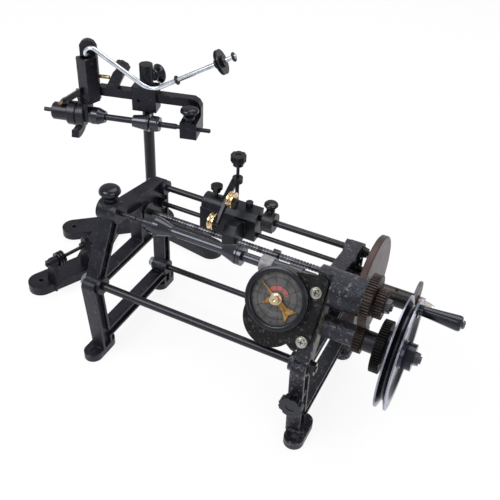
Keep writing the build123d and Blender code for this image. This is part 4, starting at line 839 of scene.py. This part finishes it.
# ---------------------------------------------------------------- the object's finishes
class Finish(Enum):
    """Every finish on the machine, by what it is on."""

    FRAME = CastEnamel("frame_enamel")
    STAND = CastEnamel("stand_enamel", pale=(0.0100, 0.0090, 0.0150), wear=0.35, speck=0.15)
    HEADSTOCK = StainedEnamel(
        "headstock_enamel", dark=(0.0040, 0.0038, 0.0056), pale=(0.022, 0.0215, 0.027),
        rubbed=(0.20, 0.195, 0.21), grain=330.0, relief=0.0022, corner=0.0020, wear=1.0, speck=0.45,
        roughness=0.38, shine=0.38, speck_from=0.55,
    )
    HOUSING = CastEnamel(
        "counter_enamel", dark=(0.0012, 0.0012, 0.0014), pale=(0.0050, 0.0050, 0.0052), grain=420.0,
        relief=0.0009, corner=0.0010, wear=0.35, speck=0.24, roughness=0.40, shine=0.24,
        tint=(1.0, 1.0, 1.0), speck_from=0.54,
    )
    CARRIAGE = CastEnamel(
        "carriage_enamel", dark=(0.0022, 0.0022, 0.0028), pale=(0.0090, 0.0088, 0.0110),
        relief=0.0002, speck=0.1,
    )
    STOP = CastEnamel(
        "stop_casting", dark=(0.0060, 0.0055, 0.0052), pale=(0.026, 0.023, 0.021), speck=0.4
    )
    ROD = DarkSteel("blackened_rod", dark=(0.0035, 0.0033, 0.0035), pale=(0.0110, 0.0100, 0.0105))
    SPINDLE = DarkSteel("spindle_steel", pale=(0.020, 0.020, 0.028), roughness=0.20, shine=0.7)
    CONE = DarkSteel(
        "polished_cone", dark=(0.0025, 0.0025, 0.0035), pale=(0.0080, 0.0080, 0.0110),
        roughness=0.15, shine=0.8,
    )
    SMALL_STEEL = DarkSteel("small_dark_steel", lines=(1.0, 1.0, 1.0))
    NUT_STEEL = DarkSteel(
        "dark_nut_steel", dark=(0.020, 0.020, 0.022), pale=(0.060, 0.060, 0.066),
        rubbed=(0.45, 0.45, 0.46), roughness=0.26, lines=(1.0, 1.0, 1.0), shine=0.9,
    )
    BRIGHT = BareMetal(
        "bright_steel", colour=(0.55, 0.55, 0.58), shade=(0.30, 0.30, 0.33), roughness=0.24,
        scratch=0.16, lines=(0.06, 1.0, 1.0),
    )
    LEAD_SCREW = BareMetal(
        "screw_steel", colour=(0.13, 0.13, 0.15), shade=(0.030, 0.030, 0.034), roughness=0.30,
        scratch=0.16,
    )
    ZINC = BareMetal(
        "zinc_plate", colour=(0.62, 0.61, 0.56), shade=(0.36, 0.35, 0.31), roughness=0.30, scratch=0.14
    )
    FRAME_NUT = SplitAlongX(
        "frame_nuts", border=0.150, blur=0.0004, left=(0.34, 0.38, 0.42),
        right=(0.050, 0.048, 0.050), roughness=0.30, metal=0.9,
    )
    CHROME = BareMetal(
        "polished_chrome", colour=(0.74, 0.78, 0.84), shade=(0.50, 0.54, 0.62), roughness=0.09,
        scratch=0.04, corner=0.0001,
    )
    BRASS = BareMetal(
        "polished_brass", colour=(0.90, 0.72, 0.47), shade=(0.66, 0.46, 0.25), roughness=0.18,
        scratch=0.10,
    )
    DULL_BRASS = BareMetal(
        "dull_brass", colour=(0.42, 0.33, 0.17), shade=(0.16, 0.11, 0.05), roughness=0.34, scratch=0.12
    )
    # the hub colours are polished brass lightened towards white, partly a painted highlight
    HAND = HandAndHub(
        "lacquered_brass_and_hub_highlight", hand=(0.46, 0.27, 0.085), hand_shade=(0.22, 0.115, 0.034),
        hub=(0.98, 0.86, 0.66), hub_shade=(0.80, 0.60, 0.34), hub_height=0.02262,
    )
    BRONZE = BareMetal(
        "bush_bronze", colour=(0.30, 0.20, 0.11), shade=(0.14, 0.09, 0.05), roughness=0.38,
        scratch=0.12,
    )
    KNOB = MouldedPlastic("black_knob")
    GRIP = MouldedPlastic("black_grip", roughness=0.12, shine=0.6)
    RUBBER = MouldedPlastic("black_rubber", colour=(0.0060, 0.0060, 0.0066), roughness=0.5)
    DISC = TurnedIron(
        "brown_disc", DISC_AXIS, rim=0.0645, face=(0.070, 0.050, 0.056), edge=(0.052, 0.027, 0.023),
        patch=(0.105, 0.082, 0.094),
    )
    TUBE = SplitAlongX(
        "browned_tube", border=0.332, blur=0.006, left=(0.050, 0.025, 0.022),
        right=(0.0070, 0.0055, 0.0060), roughness=0.34, metal=0.2,
    )
    COLLAR = SplitAlongX(
        "collar_and_nut", border=0.3672, blur=0.0004, left=(0.42, 0.17, 0.07),
        right=(0.50, 0.46, 0.42), roughness=0.34,
    )
    PULLEY = TurnedIron(
        "grey_pulley", DISC_AXIS, rim=0.027, face=(0.022, 0.021, 0.026), edge=(0.11, 0.10, 0.115),
        patch=(0.045, 0.042, 0.050),
    )
    SPINDLE_GEAR = ToothedSteel("spindle_gear", SPINDLE_AXIS, LARGE_TIP)
    PINION = ToothedSteel("pinion", SPINDLE_AXIS, SMALL_TIP, brown=(0.034, 0.026, 0.024))
    DRIVE_PINION = ToothedSteel(
        "drive_pinion", DRIVE_AXIS, SMALL_TIP, brown=(0.018, 0.010, 0.008),
        bright=(0.05, 0.034, 0.030), shine=0.18,
    )
    DRIVE_GEAR = ToothedSteel(
        "drive_gear", DRIVE_AXIS, LARGE_TIP, dark=(0.002, 0.002, 0.002),
        brown=(0.004, 0.0036, 0.0036), bright=(0.012, 0.011, 0.011), shine=0.14,
    )
    WHEEL = GroovedRim("handwheel", DRIVE_AXIS, outer=0.0605, inner=0.0565, face_x=0.3739)
    DIAL = FlatPaint(
        "dial_grey", colour=(0.088, 0.086, 0.086), stain=(0.034, 0.034, 0.034), roughness=0.36,
        grain=900.0,
    )
    # black print for the dial's ticks and figures, also used for the painted shade in the screws' cross
    # recess
    DIAL_MARK_AND_RECESS_SHADE = FlatPaint("dial_marks_and_recess_shade", colour=(0.004, 0.004, 0.005), stain=(0.010, 0.010, 0.012))
    DIAL_RED = FlatPaint("dial_red", colour=(0.34, 0.085, 0.080), stain=(0.20, 0.075, 0.075))
    BEZEL = MouldedPlastic("black_bezel", roughness=0.26)
    RING = FlatPaint(
        "grey_ring", colour=(0.24, 0.235, 0.25), stain=(0.13, 0.125, 0.135), roughness=0.4
    )


# the nodes of each finish
DRESSED: dict[Finish, tuple[str, ...]] = {
    Finish.FRAME: ("left_end_frame",),
    Finish.HEADSTOCK: ("headstock_frame",),
    Finish.BRONZE: ("shaft_bushes",),
    Finish.ROD: ("tie_rods", "guide_rods", "stand_post"),
    Finish.FRAME_NUT: ("tie_rod_nuts",),
    Finish.SMALL_STEEL: (
        "tail_pin", "drive_sleeves", "roller_arm", "spool_spindle", "brake_drum", "centre_pin",
    ),
    Finish.KNOB: (
        "tail_lock_knob", "leg_knob", "carriage_star_knob", "carriage_small_knob", "stop_knob",
        "wire_guide_pulley", "head_clamp_knob", "box_clamp_knob", "centre_knob", "arm_wheel",
    ),
    Finish.SPINDLE: ("winding_spindle", "mandrel_tubes"),
    Finish.CONE: ("winding_cones", "spool_cones"),
    Finish.RING: ("mandrel_ring",),
    Finish.SPINDLE_GEAR: ("spindle_large_gear",),
    Finish.PINION: ("spindle_pinion",),
    Finish.NUT_STEEL: ("spindle_nut", "drive_shaft", "wheel_nut_and_crank_pin"),
    Finish.DRIVE_PINION: ("drive_small_gear",),
    Finish.DRIVE_GEAR: ("drive_large_gear",),
    Finish.WHEEL: ("handwheel",),
    Finish.GRIP: ("crank_grip",),
    Finish.BRIGHT: ("disc_axle",),
    Finish.DISC: ("friction_disc",),
    Finish.TUBE: ("disc_tube",),
    Finish.PULLEY: ("disc_pulley",),
    Finish.COLLAR: ("axle_collar_nut",),
    Finish.HOUSING: ("counter_housing",),
    Finish.DIAL: ("counter_dial",),
    Finish.HAND: ("counter_short_hand", "counter_long_hand"),
    Finish.ZINC: ("counter_screws",),
    Finish.LEAD_SCREW: ("lead_screw",),
    Finish.CARRIAGE: ("carriage_body",),
    Finish.BRASS: ("upper_roller", "lower_roller"),
    Finish.STOP: ("stop_block",),
    Finish.STAND: ("stand_base", "wire_guide_lugs", "head_casting", "brake_lever", "tension_box"),
    Finish.DULL_BRASS: ("box_screws",),
    Finish.CHROME: ("tension_arm",),
    Finish.RUBBER: ("arm_rings",),
}


# ---------------------------------------------------------------- sub-assemblies
@dataclass
class CounterDial:
    """Marks on the turn counter's dial, painted shade in each plate screw's cross recess and the bezel
    round it.
    """

    centre_x: float = 0.2336
    climb: float = 0.0645
    face_height: float = 0.01933
    drum_top: float = 0.024
    mark_thickness: float = 0.00012
    divisions: int = 100
    # inner radius, outer radius and half width of each kind of tick
    long_tick: Sequence[float] = (0.0176, 0.0255, 0.00030)
    middle_tick: Sequence[float] = (0.0222, 0.0245, 0.00016)
    short_tick: Sequence[float] = (0.0222, 0.0234, 0.00016)
    inner_tick: Sequence[float] = (0.0086, 0.0142, 0.00025)
    # radius and half width of each circle
    circles: Sequence[Point2] = ((0.0284, 0.00012), (0.0220, 0.00020), (0.0142, 0.00012))
    # inner radius, outer radius, first and last angle in degrees
    red_band: Sequence[float] = (0.0086, 0.0136, 28.0, 162.0)
    figures: int = 10
    figure_radius: float = 0.0268
    figure_size: float = 0.0036
    # X and climb of each plate screw, then half the length and width of the arms of the painted shade in
    # its cross recess
    screws: Sequence[Point2] = ((0.2715, 0.0280), (0.2715, 0.0835))
    recess: Point2 = (0.0024, 0.00055)
    # height of the dark plates of painted shade in the screw heads, above the member's centre line
    recess_shade_height: float = 0.01847
    bezel: Sequence[Point2] = (
        (0.0292, -0.0045), (0.0292, 0.0002), (0.0298, 0.0009), (0.0312, 0.0012), (0.0335, 0.0010),
        (0.0349, 0.0002), (0.0351, -0.0012), (0.0351, -0.0030), (0.0349, -0.0030), (0.0349, -0.0001),
        (0.0297, -0.0001), (0.0297, -0.0045),
    )

    def level(self, height: float) -> Place:
        """Find a plane parallel to the dial.

        Args:
            height: how far it is above the front member's centre line.

        Returns:
            The plane, with its origin on the dial's axis.
        """
        cos, sin = math.cos(MEMBER_SLOPE), math.sin(MEMBER_SLOPE)
        origin = Vector((
            self.centre_x,
            MEMBER_FOOT[0] + self.climb * cos - height * sin,
            MEMBER_FOOT[1] + self.climb * sin + height * cos,
        ))
        return Place(origin, Vector((1, 0, 0)), Vector((0, cos, sin)))

    def marks(self) -> list[list[Point2]]:
        """Draw the ticks and the circles.

        Returns:
            Their outlines on the dial's plane.
        """
        plates: list[list[Point2]] = []
        for i in range(self.divisions):
            if i % 10 == 0:
                shape = self.long_tick
            elif i % 5 == 0:
                shape = self.middle_tick
            else:
                shape = self.short_tick
            plates.append(Maker.tick(math.tau * i / self.divisions, *shape))
        for i in range(self.figures):
            plates.append(Maker.tick(math.tau * i / self.figures, *self.inner_tick))
        for radius, half in self.circles:
            plates += Maker.arc_band(radius - half, radius + half, 0, 360, 96)
        return plates

    def numerals(self, shop: Workshop) -> None:
        """Set plain figures round the dial.

        Args:
            shop: dresses them.
        """
        place = self.level(self.face_height)
        basis = Matrix((place.right, place.up, place.out)).transposed().to_4x4()
        basis.translation = place.origin
        out = self.figure_radius
        for i in range(self.figures):
            turn = math.pi / 2 - math.tau * i / self.figures
            words = bpy.data.curves.new(f"dial_figure_{i}", "FONT")
            words.body = str(i * self.divisions // self.figures)
            words.size = self.figure_size
            words.align_x, words.align_y = "CENTER", "CENTER"
            words.extrude = self.mark_thickness / 2
            written = bpy.data.objects.new(f"dial_figure_curve_{i}", words)
            bpy.context.scene.collection.objects.link(written)
            spin = Matrix.Rotation(turn - math.pi / 2, 4, "Z")
            shift = Matrix.Translation((out * math.cos(turn), out * math.sin(turn), words.extrude))
            mesh = bpy.data.meshes.new_from_object(written)
            mesh.transform(basis @ shift @ spin)
            bpy.data.objects.remove(written)
            piece = bpy.data.objects.new(f"dial_figure_{i}", mesh)
            bpy.context.scene.collection.objects.link(piece)
            shop.add(piece, Finish.DIAL_MARK_AND_RECESS_SHADE.value, "machine", "dial_grey")

    def recess_shade(self, shop: Workshop) -> None:
        """Set dark plates of painted shade in each plate screw's cross recess.

        Args:
            shop: dresses them.
        """
        base = self.level(self.recess_shade_height)
        arm, half = self.recess
        bars = [[(-u, -v), (u, -v), (u, v), (-u, v)] for u, v in ((arm, half), (half, arm))]
        for number, (x, climb) in enumerate(self.screws):
            spot = Place(base.at(x - self.centre_x, climb - self.climb), base.right, base.up)
            # a dark plate of painted shade where the screw's cross recess lies in shadow
            piece = Maker.prism(f"screw_recess_shade_{number}", spot, bars, self.mark_thickness)
            shop.add(piece, Finish.DIAL_MARK_AND_RECESS_SHADE.value, "machine", "black_steel")

    def build(self, shop: Workshop) -> None:
        """Make the painted shade in each screw's cross recess, the marks, the coloured band, the figures
        and the bezel.

        Args:
            shop: dresses them.
        """
        self.recess_shade(shop)
        place = self.level(self.face_height)
        ticks = Maker.prism("dial_ticks", place, self.marks(), self.mark_thickness)
        shop.add(ticks, Finish.DIAL_MARK_AND_RECESS_SHADE.value, "machine", "dial_grey")
        arcs = Maker.arc_band(*self.red_band, 40)
        band = Maker.prism("dial_red_band", place, arcs, self.mark_thickness)
        shop.add(band, Finish.DIAL_RED.value, "machine", "dial_grey")
        self.numerals(shop)
        bezel = Maker.lathe("dial_bezel", self.level(self.drum_top), self.bezel, 128)
        shop.add(bezel, Finish.BEZEL.value, "machine", "black_plastic")
        LOG.info("counter dial built")


@dataclass(frozen=True)
class SoftBox:
    """A square lamp that looks at the object."""

    name: str
    place: Point3
    size: float
    power: float


@dataclass
class Studio:
    """Pale floor, soft lamps, plain white backdrop and the camera."""

    sensor: float = 36.0
    lens: float = 712.94 / 500 * 36.0
    camera_at: Point3 = (0.4356, -0.4963, 0.6842)
    azimuth: float = 24.32
    elevation: float = 38.19
    roll: float = 3.42
    floor_glow: float = 0.86
    floor_half: float = 4.0
    floor_drop: float = 0.0004
    mirror_sky: float = 0.55
    soft_sky: float = 0.60
    lit_at: Point3 = (0.16, 0.10, 0.12)
    boxes: Sequence[SoftBox] = (
        SoftBox("key", (-0.7, -1.1, 1.7), 1.1, 26.0),
        SoftBox("fill", (1.6, -0.7, 1.1), 1.2, 12.0),
        SoftBox("top", (0.2, 0.9, 1.9), 1.4, 16.0),
    )

    def camera(self) -> None:
        """Place the camera at the photograph's viewing angle."""
        a, e, r = (math.radians(v) for v in (self.azimuth, self.elevation, self.roll))
        back = Vector((math.sin(a) * math.cos(e), -math.cos(a) * math.cos(e), math.sin(e)))
        right = Vector((math.cos(a), math.sin(a), 0.0))
        up = back.cross(right)
        right, up = right * math.cos(r) + up * math.sin(r), up * math.cos(r) - right * math.sin(r)
        data = bpy.data.cameras.new("camera")
        data.lens = self.lens
        data.sensor_width = self.sensor
        data.clip_start = 0.01
        eye = bpy.data.objects.new("camera", data)
        turn = Matrix((right, up, back)).transposed().to_4x4()
        eye.matrix_world = Matrix.Translation(self.camera_at) @ turn
        bpy.context.scene.collection.objects.link(eye)
        bpy.context.scene.camera = eye

    def floor(self) -> None:
        """Lay the floor, white to the camera but able to hold a shadow."""
        half = self.floor_half
        signs = ((-1, -1), (1, -1), (1, 1), (-1, 1))
        corners = [Vector((x * half, y * half, -self.floor_drop)) for x, y in signs]
        ground = Maker.solid("floor", corners, [(0, 1, 2, 3)], False)
        mix = Recipe("floor_pale")
        speck = mix.noise(30.0, 3.0)
        mix.finish(Base_Color=mix.mix(speck, (0.86, 0.86, 0.87), (0.90, 0.90, 0.91)), Roughness=0.9)
        seen, mirror, through = self.rays(mix.tree)
        shown = (seen + mirror + through).clamped()
        glow = mix.node("ShaderNodeEmission", None, {"Color": (1.0, 1.0, 1.0), "Strength": 1.0})
        matt = Signal(mix.tree, mix.shader.outputs[0])
        out = mix.node("ShaderNodeMixShader", None, {0: shown * self.floor_glow, 1: matt, 2: glow})
        end = next(n for n in mix.tree.nodes if n.type == "OUTPUT_MATERIAL")
        mix.tree.links.new(out.socket, end.inputs[0])
        ground.data.materials.append(mix.material)

    @staticmethod
    def rays(tree: bpy.types.NodeTree) -> tuple[Signal, Signal, Signal]:
        """1 for rays straight from the camera, by mirror and through glass."""
        path = tree.nodes.new("ShaderNodeLightPath")
        kinds = ("Is Camera Ray", "Is Glossy Ray", "Is Transmission Ray")
        return tuple(Signal(tree, path.outputs[kind]) for kind in kinds)

    def world(self) -> None:
        """White behind everything, softer light on the object."""
        sky = bpy.data.worlds.new("studio")
        sky.use_nodes = True
        bpy.context.scene.world = sky
        tree = sky.node_tree
        tree.nodes.clear()
        seen, mirror, through = self.rays(tree)
        direct = (seen + through).clamped()
        other = mirror * self.mirror_sky + (1.0 - mirror) * self.soft_sky
        strength = direct + (1.0 - direct) * other
        shade = tree.nodes.new("ShaderNodeBackground")
        shade.inputs["Color"].default_value = (1.0, 1.0, 1.0, 1.0)
        tree.links.new(strength.socket, shade.inputs["Strength"])
        end = tree.nodes.new("ShaderNodeOutputWorld")
        tree.links.new(shade.outputs[0], end.inputs[0])

    def lamps(self) -> None:
        """Hang the soft boxes."""
        target = Vector(self.lit_at)
        for box in self.boxes:
            data = bpy.data.lights.new(box.name, "AREA")
            data.shape, data.size, data.energy = "SQUARE", box.size, box.power
            lamp = bpy.data.objects.new(box.name, data)
            lamp.location = box.place
            lamp.rotation_euler = (target - Vector(box.place)).to_track_quat("-Z", "Y").to_euler()
            bpy.context.scene.collection.objects.link(lamp)

    def build(self) -> None:
        """Set the whole studio."""
        scene = bpy.context.scene
        scene.view_settings.view_transform = "Standard"
        self.camera()
        self.floor()
        self.world()
        self.lamps()
        LOG.info("studio set")


def main() -> None:
    """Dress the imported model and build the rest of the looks."""
    logging.basicConfig(level=logging.INFO, format="%(name)s: %(message)s")
    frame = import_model()
    shop = Workshop(frame)
    for finish, nodes in DRESSED.items():
        for node in nodes:
            shop.dress_node(node, finish.value)
    CounterDial().build(shop)
    Studio().build()


if __name__ == "__main__":
    main()
